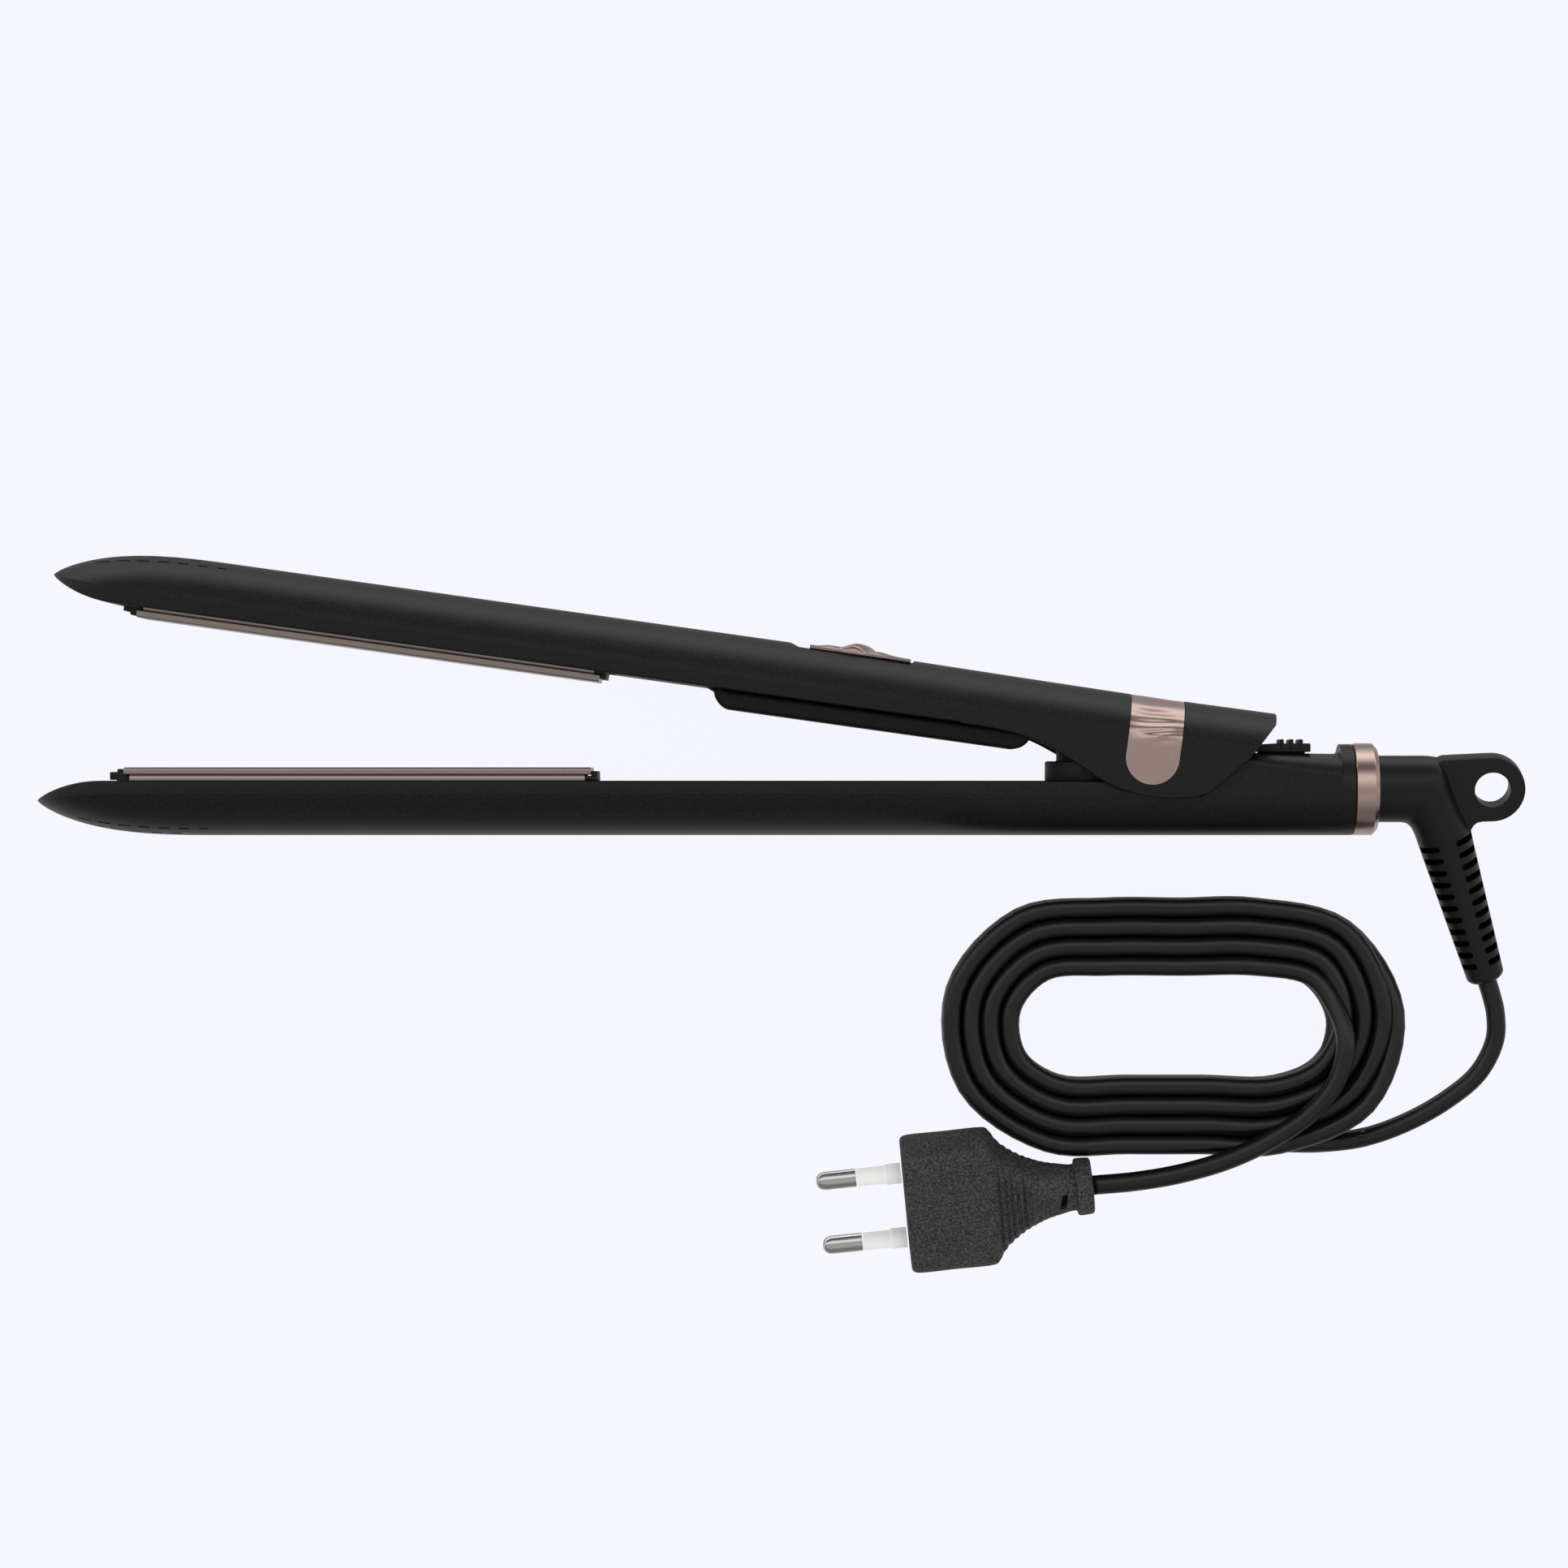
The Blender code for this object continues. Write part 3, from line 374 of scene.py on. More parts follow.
# The first stretch, from the boot down to the table, is a piece of its own, apart from the coil
COIL_FROM = (len(LEAD_OUT) - 2) * SPAN_STEPS
CORD_SIDES = 14
lead_out = tube("lead_out", cord_path[:COIL_FROM + 2], CORD_R * MM, CORD_SIDES)
dress(lead_out, None, "cord_black", cord_sheath, "cord_lead")
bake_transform(lead_out)
mains_lead = tube("mains_lead", cord_path[COIL_FROM:], CORD_R * MM, CORD_SIDES)
dress(mains_lead, "lower_arm", "cord_black", cord_sheath, "cord_coil", "cord_tail")
lead_length = sum((b - a).length for a, b in zip(cord_path, cord_path[1:]))

# ================================================================ Plug
# A flat two-pin plug moulded on to the lead in black PVC, with a ribbed grip. The pins are round, nickel
# plated and white sleeved at the root. It leans against the coil on its long edge.

PLUG = Matrix.Translation(Vector((-22.1, -88.6, 13.4)) * MM) \
    @ Matrix.Rotation(math.radians(6.0), 4, "Z") @ Matrix.Rotation(math.radians(37.0), 4, "X")
PIN_Y = 9.3


def loft(stations):
    """A closed solid through rings of as many (x, y, z) points each."""
    bm = bmesh.new()
    rings = [[bm.verts.new(p) for p in ring] for ring in stations]
    for here, there in zip(rings, rings[1:]):
        for i in range(len(here)):
            j = (i + 1) % len(here)
            bm.faces.new((here[i], here[j], there[j], there[i]))
    bm.faces.new(rings[0])
    bm.faces.new(rings[-1])
    return bm


def lathe(name, profile, centre=(0.0, 0.0), sides=40, place=None, sharp=35.0):
    """A round solid about a line along X. The profile is (x, radius) points, and it is closed at both ends."""
    stations = []
    for x, radius in profile:
        turns = [2 * math.pi * k / sides for k in range(sides)]
        stations.append([(x, centre[0] + radius * math.cos(a), centre[1] + radius * math.sin(a)) for a in turns])
    return solid(name, loft(stations), sharp, place)


def carve(target, tools, operation="DIFFERENCE", sharp=30.0):
    """Cuts the tools out of the target, or joins them to it, for good."""
    for tool in tools:
        modifier = target.modifiers.new("carve", "BOOLEAN")
        modifier.operation = operation
        modifier.object = tool
        modifier.solver = "EXACT"
    settle(target, sharp)
    for tool in tools:
        bpy.data.objects.remove(tool)


def slot_tree():
    """Geometry nodes that set a round-ended bar on every point, looking outward and lying ahead."""
    tree = bpy.data.node_groups.new("rounded_slots", "GeometryNodeTree")
    for label, kind in (("Geometry", "NodeSocketGeometry"), ("Length", "NodeSocketFloat"),
                        ("Width", "NodeSocketFloat"), ("Depth", "NodeSocketFloat"),
                        ("Material", "NodeSocketMaterial")):
        tree.interface.new_socket(label, in_out="INPUT", socket_type=kind)
    tree.interface.new_socket("Geometry", in_out="OUTPUT", socket_type="NodeSocketGeometry")
    given = tree.nodes.new("NodeGroupInput")
    points, length, width, depth, surface = (Wire(tree, given.outputs[k]) for k in range(5))
    add = points.node

    outline = add("GeometryNodeCurvePrimitiveQuadrilateral", None, Width=length, Height=width)[0]
    rounded = add("GeometryNodeFilletCurve", {"mode": "POLY"}, Curve=outline, Radius=width * 0.498, Count=6)[0]
    face = add("GeometryNodeFillCurve", {"mode": "NGONS"}, Curve=rounded)[0]
    raised = add("GeometryNodeExtrudeMesh", None, Mesh=face, Offset_Scale=depth)[0]
    under = add("GeometryNodeFlipFaces", None, Mesh=face)[0]
    both = tree.nodes.new("GeometryNodeJoinGeometry")
    for part in (raised, under):
        tree.links.new(part.socket, both.inputs[0])
    bar = add("GeometryNodeMergeByDistance", None, Geometry=Wire(tree, both.outputs[0]), Distance=1e-7)[0]
    down = add("ShaderNodeCombineXYZ", None, Z=depth * -0.5)[0]
    bar = add("GeometryNodeTransform", None, Geometry=bar, Translation=down)[0]
    outward, ahead, size = (add("GeometryNodeInputNamedAttribute", {"data_type": kind}, Name=name)[0]
                            for name, kind in (("outward", "FLOAT_VECTOR"), ("ahead", "FLOAT_VECTOR"),
                                               ("size", "FLOAT")))
    turn = add("FunctionNodeAxesToRotation", {"primary_axis": "Z", "secondary_axis": "X"},
               _0=outward, _1=ahead)[0]
    stretch = add("ShaderNodeCombineXYZ", None, X=size, Y=1.0, Z=1.0)[0]
    placed = add("GeometryNodeInstanceOnPoints", None, Points=points, Instance=bar, Rotation=turn,
                 Scale=stretch)[0]
    real = add("GeometryNodeRealizeInstances", None, Geometry=placed)[0]
    done = add("GeometryNodeSetMaterial", None, Geometry=real, Material=surface)[0]
    tree.links.new(done.socket, tree.nodes.new("NodeGroupOutput").inputs[0])
    return tree


SLOTS = slot_tree()


def slots(name, spots, length, width, depth, material):
    """Round-ended bars in mm on spots of (place, outward, ahead, size), as one mesh."""
    mesh = bpy.data.meshes.new(name)
    mesh.from_pydata([Vector(spot[0]) * MM for spot in spots], [], [])
    for key, k in (("outward", 1), ("ahead", 2)):
        layer = mesh.attributes.new(key, "FLOAT_VECTOR", "POINT")
        layer.data.foreach_set("vector", [c for spot in spots for c in Vector(spot[k])])
    mesh.attributes.new("size", "FLOAT", "POINT").data.foreach_set("value", [spot[3] for spot in spots])
    row = bpy.data.objects.new(name, mesh)
    scene.collection.objects.link(row)
    modifier = row.modifiers.new("slots", "NODES")
    modifier.node_group = SLOTS
    wanted = {"Length": length * MM, "Width": width * MM, "Depth": depth * MM, "Material": material}
    for item in SLOTS.interface.items_tree:
        if item.in_out == "INPUT" and item.name in wanted:
            modifier[item.identifier] = wanted[item.name]
    settle(row)
    return row


def plug_ring(x, half_width, half_thick, squareness):
    ring = []
    for k in range(88):
        a = 2 * math.pi * k / 88
        c, s = math.cos(a), math.sin(a)
        ring.append((x, half_width * math.copysign(abs(c) ** (2 / squareness), c),
                     half_thick * math.copysign(abs(s) ** (2 / squareness), s)))
    return ring


def plug_stations():
    # x along the plug, half width, half thickness, how square the section is
    shape = [(-0.3, 5.6, 5.6, 2.0), (-0.6, 6.1, 6.1, 2.0), (-1.0, 6.2, 6.2, 2.0), (-3.4, 6.2, 6.2, 2.1),
             (-3.9, 5.9, 5.9, 2.2), (-4.3, 5.0, 4.9, 2.3), (-5.2, 4.9, 4.8, 2.4), (-7.5, 5.2, 4.9, 2.8),
             (-11.0, 6.1, 5.3, 3.0), (-14.0, 7.5, 5.7, 3.3), (-17.0, 9.5, 6.1, 3.6), (-20.0, 12.5, 6.4, 3.9),
             (-21.5, 15.2, 6.5, 4.1), (-22.6, 16.8, 6.55, 4.2), (-24.0, 17.1, 6.6, 4.2), (-32.0, 17.1, 6.6, 4.2),
             (-39.8, 17.1, 6.6, 4.2), (-40.8, 16.9, 6.45, 4.2), (-41.3, 16.5, 6.15, 4.2), (-41.5, 16.1, 5.8, 4.2)]
    line = smooth_line(shape, 10)
    rings = []
    for x, half_width, half_thick, square in line:
        ribbed = smoothstep((-x - 7.5) / 2.0) * smoothstep((x + 22.4) / 1.2)
        coarse = smoothstep((-x - 12.5) / 3.0)
        pitch = 1.35
        rib = 0.5 + 0.5 * math.cos(2 * math.pi * x / pitch)
        depth = ribbed * (0.20 + 0.50 * coarse)
        rings.append(plug_ring(x, half_width, half_thick - depth * (1.0 - rib ** 0.6), square))
    return rings


plug_pvc, pvc_shader, at = finish("plug_pvc", (0.02, 0.02, 0.02), 0.55, Specular_IOR_Level=0.4)
speck, cloud = at.noise(2100.0, 2.5), at.noise(240.0, seed=7.0)
(0.46 + speck * 0.26).feeds(pvc_shader, "Roughness")
(speck.between(0.40, 0.72) * 0.85 + cloud * 0.15).colour((0.007, 0.007, 0.007), (0.095, 0.095, 0.095)) \
    .feeds(pvc_shader, "Base Color")
speck.raises(pvc_shader, 0.00010)

plug_body = solid("plug_body_look", loft(plug_stations()), 32.0)
carve(plug_body, [slots("relief_window", [((-6.9, 0.0, 4.4), (0, 0, 1), (0.2, 1, 0), 1.0)], 4.2, 1.35, 5.0, plug_pvc)],
      sharp=32.0)
plug_body.data.transform(PLUG)
dress(plug_body, "lower_arm", "plug_black", plug_pvc, "plug_body")

sleeve_white, white_shader, at = finish("sleeve_white", (0.90, 0.90, 0.89), 0.36)
(0.33 + at.noise(900.0) * 0.10).feeds(white_shader, "Roughness")
at.noise(260.0, seed=2.0).colour((0.87, 0.87, 0.86), (0.94, 0.94, 0.93)).feeds(white_shader, "Base Color")

pin_nickel, nickel_shader, at = finish("pin_nickel", (0.74, 0.74, 0.73), 0.14, 1.0)
wiped = at.noise(700.0, 3.0, stretch=(0.12, 1.0, 1.0), turn=-math.radians(6.0))
(0.10 + wiped * 0.16).feeds(nickel_shader, "Roughness")
wiped.colour((0.66, 0.66, 0.65), (0.82, 0.82, 0.81)).feeds(nickel_shader, "Base Color")

SLEEVE = [(-41.9, 2.25), (-44.8, 2.25), (-45.2, 2.22), (-45.45, 1.98), (-45.6, 1.95), (-51.4, 1.95), (-51.5, 1.88)]
PIN = [(-51.75, 1.9), (-51.85, 2.0), (-58.5, 2.0), (-59.2, 1.88), (-59.8, 1.6), (-60.2, 1.2), (-60.42, 0.7),
       (-60.5, 0.2)]
plug_pieces = [plug_body]
for number, side in ((1, PIN_Y), (2, -PIN_Y)):
    sleeve = lathe(f"plug_sleeve_{number}_look", SLEEVE, (side, 0.0), place=PLUG)
    pin = lathe(f"plug_pin_{number}_look", PIN, (side, 0.0), place=PLUG)
    dress(sleeve, "lower_arm", "sleeve_white", sleeve_white, f"plug_sleeve_{number}")
    dress(pin, "lower_arm", "pin_chrome", pin_nickel, f"plug_pin_{number}")
    plug_pieces += [sleeve, pin]

# ================================================================ Lower arm
# A half-round hollow arm moulded in satin black plastic, with a flat inner face, a narrow flat stripe along
# both sides and a boat-shaped nose. Two rows of dashes near the nose let the heat out on either side.

OPEN = Matrix.Rotation(math.radians(-8.0), 4, "Z")      # the upper arm's turn from closed to open
HALF_WIDTH, REAR_HALF_WIDTH = 15.0, 12.7
LOWER_TIP, LOWER_FACE, LOWER_SPRING, LOWER_CROWN = Vector((-253.7, -4.2)), 0.2, -2.5, -11.75
WALL, SWIVEL_Y, TRACK_FLOOR, REAR_TOP = 2.2, -1.6, 6.4, 8.2
BODY_END, RING_END = 34.6, 39.7
CORNER = 0.6                 # the flat face's rounded corners
CREASE = 0.80                # how far the arch is a circle's arc, which leaves the stripe at an angle
CREASE_ANGLE = 15.0          # edges over this many degrees stay crisp on the arms


def arm_section(face, spring, crown, half_width, roundness=0.0, steps=44):
    """(y, z) points of an arch over a flat face. A roundness of 1 turns the flat half into an arch too."""
    height = crown - spring
    wide = half_width / abs(height)
    big = (wide * wide + 1.0) / 2.0
    half_turn = math.asin(min(1.0, wide / big))
    points = []
    for i in range(steps + 1):
        a, b = math.pi * i / steps, half_turn * (1.0 - 2.0 * i / steps)
        oval = Vector((math.sin(a), math.cos(a)))
        circle = Vector((1.0 - big + big * math.cos(b), big * math.sin(b) / wide))
        mixed = oval.lerp(circle, CREASE * (1.0 - roundness))
        points.append(Vector((spring + height * mixed.x, half_width * mixed.y)))
    toward = 1.0 if face > spring else -1.0
    corner = min(CORNER, abs(face - spring) * 0.8)
    flat = []
    for k in range(5):
        a = math.radians(22.5 * k)
        flat.append((face - toward * corner * (1 - math.sin(a)), -half_width + corner * (1 - math.cos(a))))
    across = [(face, (half_width - corner) * t) for t in (-0.75, -0.5, -0.25, 0.0, 0.25, 0.5, 0.75)]
    flat += across + [(y, -z) for y, z in reversed(flat)]
    for k, (y, z) in enumerate(flat):
        a = math.pi * (k + 1) / (len(flat) + 1)
        oval = Vector((spring + (face - spring) * math.sin(a), -half_width * math.cos(a)))
        points.append(Vector((y, z)).lerp(oval, roundness))
    return points


def arm(sections):
    """A closed solid through (x, section) pairs, the sections about the arms' mid-plane."""
    return loft([[(x, y, MID_Z + z) for y, z in section] for x, section in sections])


def rise(distance, run, power, sharpness):
    """0 at the tip of a nose and 1 from the distance run on."""
    left = max(0.0, 1.0 - distance / run)
    return (1.0 - left ** power) ** sharpness


def nose(tip, face, spring, crown, step):
    """The nose's face, spring and crown heights and half width, that far from its tip."""
    out, flat, wide = rise(step, 40.0, 3.0, 0.8), rise(step, 15.4, 2.0, 0.9), rise(step, 19.0, 2.3, 0.52)
    return (tip.y + (face - tip.y) * flat, tip.y + (spring - tip.y) * min(out, flat),
            tip.y + (crown - tip.y) * out, HALF_WIDTH * wide)


def nose_sections(tip, face, spring, crown):
    steps = [40.0 * ((i + 0.6) / 44.6) ** 2.0 for i in range(45)]
    return [(tip.x + step, arm_section(*nose(tip, face, spring, crown, step))) for step in steps]


def bay_sections(face, spring, crown, end):
    """An arm's hollow: a wide bay for the plate, then a narrower one in the handle."""
    front = spring + (crown - spring) * 0.8
    rows = ((-238.4, front, 12.9), (-232.2, crown, 12.9), (-130.0, crown, 12.9), (-129.6, crown, 10.7),
            (end, crown, 10.7))
    return [(x, arm_section(face, spring, top, half, steps=16)) for x, top, half in rows]


def nose_vents(tip, face, spring, crown):
    """Where the dashes sit: their place, the way they face, the way they lie, and their length."""
    spots = []
    for angle, first, count in ((61.0, 10.9, 7), (75.0, 13.3, 5)):
        for side in (angle, 180.0 - angle):
            a = math.radians(side)
            for k in range(count):
                step = first + 4.35 * k
                low, high = (nose(tip, face, spring, crown, step + shift) for shift in (-0.5, 0.5))
                ends = [Vector((s, y_spring + (y_crown - y_spring) * math.sin(a), half * math.cos(a)))
                        for s, (_, y_spring, y_crown, half) in ((-0.5, low), (0.5, high))]
                _, y_spring, y_crown, half = nose(tip, face, spring, crown, step)
                height = y_crown - y_spring
                place = Vector((tip.x + step, y_spring + height * math.sin(a), MID_Z + half * math.cos(a)))
                outward = Vector((0.0, math.sin(a) / height, math.cos(a) / half)).normalized()
                spots.append((place, outward, (ends[1] - ends[0]).normalized(), 1.0 - 0.06 * k))
    return spots


def rod(name, start, end, radius, sides=40, place=None):
    start, end = Vector(start), Vector(end)
    bm = bmesh.new()
    bmesh.ops.create_cone(bm, cap_ends=True, segments=sides, radius1=radius, radius2=radius,
                          depth=(end - start).length)
    turn = Vector((0, 0, 1)).rotation_difference(end - start).to_matrix().to_4x4()
    bmesh.ops.transform(bm, verts=bm.verts, matrix=Matrix.Translation((start + end) / 2) @ turn)
    return solid(name, bm, 35.0, place)


def brick(name, low, high, rounded=0.0, place=None):
    bm = bmesh.new()
    bmesh.ops.create_cube(bm, size=1.0)
    bmesh.ops.scale(bm, verts=bm.verts, vec=[b - a for a, b in zip(low, high)])
    bmesh.ops.translate(bm, verts=bm.verts, vec=[(a + b) / 2 for a, b in zip(low, high)])
    if rounded:
        bmesh.ops.bevel(bm, geom=bm.edges[:], offset=rounded, segments=3, profile=0.5, affect="EDGES",
                        clamp_overlap=True)
    return solid(name, bm, 35.0, place)


shell_plastic, shell_shader, at = finish("shell_plastic", (0.008, 0.008, 0.0085), 0.42, Specular_IOR_Level=0.36)
sparkle, haze = at.noise(2900.0, 1.5), at.noise(90.0, 3.0, seed=5.0)
(0.25 + sparkle * 0.22 + haze * 0.05).feeds(shell_shader, "Roughness")
(sparkle.between(0.35, 0.68) * 0.85 + haze * 0.15).colour((0.0006, 0.0006, 0.0007), (0.0105, 0.0103, 0.0105)) \
    .feeds(shell_shader, "Base Color")
sparkle.raises(shell_shader, 0.000018)


def rear_half_width(x):
    return HALF_WIDTH + (REAR_HALF_WIDTH - HALF_WIDTH) * smoothstep((x + 60.0) / 20.0)


sections = nose_sections(LOWER_TIP, LOWER_FACE, LOWER_SPRING, LOWER_CROWN)
for x in (-180.0, -130.0, -80.0, *range(-60, -38, 2), -25.0, -12.6):
    sections.append((x, arm_section(LOWER_FACE, LOWER_SPRING, LOWER_CROWN, rear_half_width(x))))
for x, top in ((-9.0, 3.0), (-8.0, 4.4), (-7.0, 5.9), (-6.0, TRACK_FLOOR), (0.0, TRACK_FLOOR), (8.0, TRACK_FLOOR),
               (16.0, TRACK_FLOOR), (24.0, TRACK_FLOOR), (31.4, TRACK_FLOOR)):
    t = max(0.0, x / 35.0)
    sections.append((x, arm_section(top, LOWER_SPRING + t, LOWER_CROWN, REAR_HALF_WIDTH, 0.85 * t)))
for x, inset in ((31.5, 0.0), (BODY_END - 0.3, 0.0), (BODY_END, 0.3)):
    sections.append((x, arm_section(REAR_TOP - inset, SWIVEL_Y, LOWER_CROWN + inset, REAR_HALF_WIDTH - inset, 1.0)))
lower_shell = solid("lower_shell_look", arm(sections))
carve(lower_shell, [
    solid("bay", arm(bay_sections(4.0, -4.0, LOWER_CROWN + WALL, -37.0))),
    brick("lock_slot", (13.2, 5.9, 10.5), (30.9, 9.0, 19.5), 0.4),
    rod("socket_bore", (12.5, SWIVEL_Y, MID_Z), (40.0, SWIVEL_Y, MID_Z), 7.0),
    rod("bush_bore", (0, 0, -2), (0, 0, 32), 3.3),
    slots("vents", nose_vents(LOWER_TIP, LOWER_FACE, LOWER_SPRING, LOWER_CROWN), 3.2, 0.6, 1.8, shell_plastic)],
      sharp=CREASE_ANGLE)
dress(lower_shell, "lower_arm", "charcoal", shell_plastic, "lower_shell")

# ================================================================ Upper arm
# The same moulding turned over. It widens into two cheeks that hold the hinge, and its tail is cut off at a
# slant. A groove for the band runs over the hinge, and a flat is let into its back for the switch.

UPPER_TIP, UPPER_FACE, UPPER_SPRING, UPPER_CROWN = Vector((-254.0, 10.15)), 5.55, 8.75, 17.9


def outline_solid(name, points, z_low, z_high, rounded=0.0, place=None):
    """A flat outline in XY, thickened from z_low to z_high, with its rims rounded."""
    curve = bpy.data.curves.new(name, "CURVE")
    curve.dimensions = "2D"
    curve.fill_mode = "BOTH"
    curve.extrude = (z_high - z_low) / 2 - rounded
    curve.bevel_depth = rounded
    curve.bevel_resolution = 3 if rounded else 0
    curve.offset = -rounded
    spline = curve.splines.new("POLY")
    spline.points.add(len(points) - 1)
    for slot, point in zip(spline.points, points):
        slot.co = (point[0], point[1], 0.0, 1.0)
    spline.use_cyclic_u = True
    drawn = bpy.data.objects.new(name, curve)
    scene.collection.objects.link(drawn)
    bpy.context.view_layer.update()
    bm = bmesh.new()
    bm.from_mesh(bpy.data.meshes.new_from_object(drawn.evaluated_get(bpy.context.evaluated_depsgraph_get())))
    bmesh.ops.translate(bm, verts=bm.verts, vec=(0, 0, (z_low + z_high) / 2))
    bpy.data.objects.remove(drawn)
    return solid(name, bm, 35.0, place)


def arc(centre, radius, first, last, steps):
    turns = [math.radians(first + (last - first) * i / steps) for i in range(steps + 1)]
    return [Vector((centre[0] + radius * math.cos(a), centre[1] + radius * math.sin(a))) for a in turns]


CHEEKS = smooth_line([
    (-53.0, 5.4), (-44.0, 5.1), (-37.0, 4.1), (-31.1, 2.1), (-27.4, 0.5), (-21.0, -2.5), (-15.0, -4.3),
    (-8.8, -4.8), (-4.4, -4.4), (1.8, -2.6), (5.0, 0.34), (9.6, 5.6)], 6) + [Vector((11.5, 8.6)), Vector((-53.0, 8.6))]
TAIL_CUT = [(8.2, 3.2), (15.3, 14.6), (15.45, 16.8), (15.1, 17.3), (15.1, 25), (30, 25), (30, 3.2)]
SWITCH_LAND = [(-92.6, 18.1), (-90.05, 17.06), (-65.0, 17.06), (-64.4, 17.75), (-64.4, 25), (-92.6, 25)]
BAND_X = (-16.5, -4.8)


def band_outline(grow):
    return [Vector((BAND_X[0] - grow, 20.0))] + arc((-10.65, 3.7), 5.85 + grow, 180, 360, 40) \
        + [Vector((BAND_X[1] + grow, 20.0))]


def band_core(inset):
    return arm_section(-12.0, UPPER_SPRING, 17.08 - inset, HALF_WIDTH - inset)


sections = nose_sections(UPPER_TIP, UPPER_FACE, UPPER_SPRING, UPPER_CROWN)
for x, roof in ((-170.0, 17.9), (-130.0, 17.9), (-90.0, 17.9), (-72.0, 17.72), (-55.0, 17.5), (-35.0, 17.25),
                (-16.0, 17.05), (0.0, 17.1), (16.5, 17.2)):
    sections.append((x, arm_section(UPPER_FACE, UPPER_SPRING, roof, HALF_WIDTH)))
upper_shell = solid("upper_shell_look", arm(sections))
carve(upper_shell, [outline_solid("cheeks", CHEEKS, 0.0, 30.0, 0.5)], "UNION")
groove = outline_solid("groove", band_outline(0.12), -1.0, 31.0)
carve(groove, [solid("groove_core", arm([(x, band_core(1.2)) for x in (-20.0, 0.0)]))])
carve(upper_shell, [
    outline_solid("tail_cut", TAIL_CUT, -1, 31),
    solid("bay", arm(bay_sections(1.0, 10.2, UPPER_CROWN - WALL, -53.0))),
    solid("hinge_bay", arm([(x, arm_section(-8.0, UPPER_SPRING, 14.9, 13.0, steps=24)) for x in (-54.0, 9.0)])),
    brick("tail_way", (5.0, -8.0, 2.0), (20.0, 11.8, 28.0), 0.5),
    outline_solid("switch_land", SWITCH_LAND, 5.0, 25.0),
    brick("stem_slot", (-83.5, 10.0, 12.5), (-71.0, 20.0, 17.5)),
    rod("pin_bore", (0, 0, 0.9), (0, 0, 29.1), 2.05),
    slots("vents", nose_vents(UPPER_TIP, UPPER_FACE, UPPER_SPRING, UPPER_CROWN), 3.2, 0.6, 1.8, shell_plastic),
    groove], sharp=CREASE_ANGLE)
upper_shell.data.transform(OPEN)
dress(upper_shell, "upper_arm", "charcoal", shell_plastic, "upper_shell")

# ================================================================ Hinge band
# A rose-coloured metal strap let flush into the upper arm round the hinge. It is pressed in soft slanting
# waves over the back and stays flat on the cheeks.

WAVES_FROM = 6.9             # height on the cheeks where the waves begin
PRESS_DEPTH = 0.38


def rose_metal(name, turn, rough=0.20, painted_shade=1.0):
    """Brushed and clear-coated metal in a pinkish bronze. A last factor below 1 darkens its colours as painted shade.
    """
    low, high = ([painted_shade * c for c in tone] for tone in ((0.59, 0.43, 0.385), (0.69, 0.52, 0.465)))
    material, shader, at = finish(name, high, rough, 1.0)
    brushed = at.noise(1500.0, 3.0, seed=4.0, stretch=(0.05, 1.0, 1.0), turn=turn)
    cloudy = at.noise(140.0, seed=9.0)
    (rough - 0.03 + brushed * 0.10 + cloudy * 0.05).feeds(shader, "Roughness")
    (brushed * 0.5 + cloudy * 0.5).colour(low, high).feeds(shader, "Base Color")
    brushed.raises(shader, 0.000006)
    return material


rose_band = rose_metal("rose_band", math.radians(98.0), 0.26)


def band_ring(x):
    """The band's outer line at x, pressed in by waves that slant along x."""
    section = arm_section(-12.0, UPPER_SPRING, 17.03, HALF_WIDTH - 0.05, steps=150)
    line = []
    for a, b in zip(section, section[1:] + section[:1]):
        parts = math.ceil((b - a).length / 0.6)
        line += [a.lerp(b, part / parts) for part in range(parts)]
    ring = []
    for y, z in line:
        rising = smoothstep((y - WAVES_FROM) / 1.9)
        across = (x - BAND_X[0]) / (BAND_X[1] - BAND_X[0])
        around = y - 0.30 * abs(z) * 0.15
        fan = 1.25 * max(0.0, 1.0 - (y - WAVES_FROM) / 6.5)
        wave = math.sin(2 * math.pi * (around / 2.8 - fan * across + 0.08 * math.sin(5.0 * across)))
        fold = (0.5 - 0.5 * wave) ** 1.3
        swell = max(0.0, math.sin(math.pi * min(1.0, max(0.0, across) * 1.15))) ** 0.8
        press = PRESS_DEPTH * rising * fold * (0.35 + 0.65 * swell)
        if y > UPPER_SPRING:
            inward = Vector((y - UPPER_SPRING, z)).normalized()
        else:
            inward = Vector((0.0, 1.0 if z > 0 else -1.0))
        ring.append((x, y - press * max(0.0, inward.x), MID_Z + z - press * inward.y))
    return ring


band_xs = [BAND_X[0] + (BAND_X[1] - BAND_X[0]) * (i / 30 - 0.05) / 0.9 for i in range(31)]
hinge_band = solid("hinge_band_look", loft([band_ring(x) for x in band_xs]), 40.0)
trim = outline_solid("band_trim", band_outline(-0.02), -1.0, 31.0)
carve(hinge_band, [trim], "INTERSECT", 40.0)
carve(hinge_band, [solid("band_inside", arm([(x, band_core(0.9)) for x in (-20.0, 0.0)]))], sharp=40.0)
hinge_band.data.transform(OPEN)
dress(hinge_band, "upper_arm", "rose_metal", rose_band, "hinge_band")

# ================================================================ End ring
# A turned and polished ring in the same rose metal, pressed on the lower arm's end. Its rear edge is
# chamfered, and the cord's boot turns in its bore.

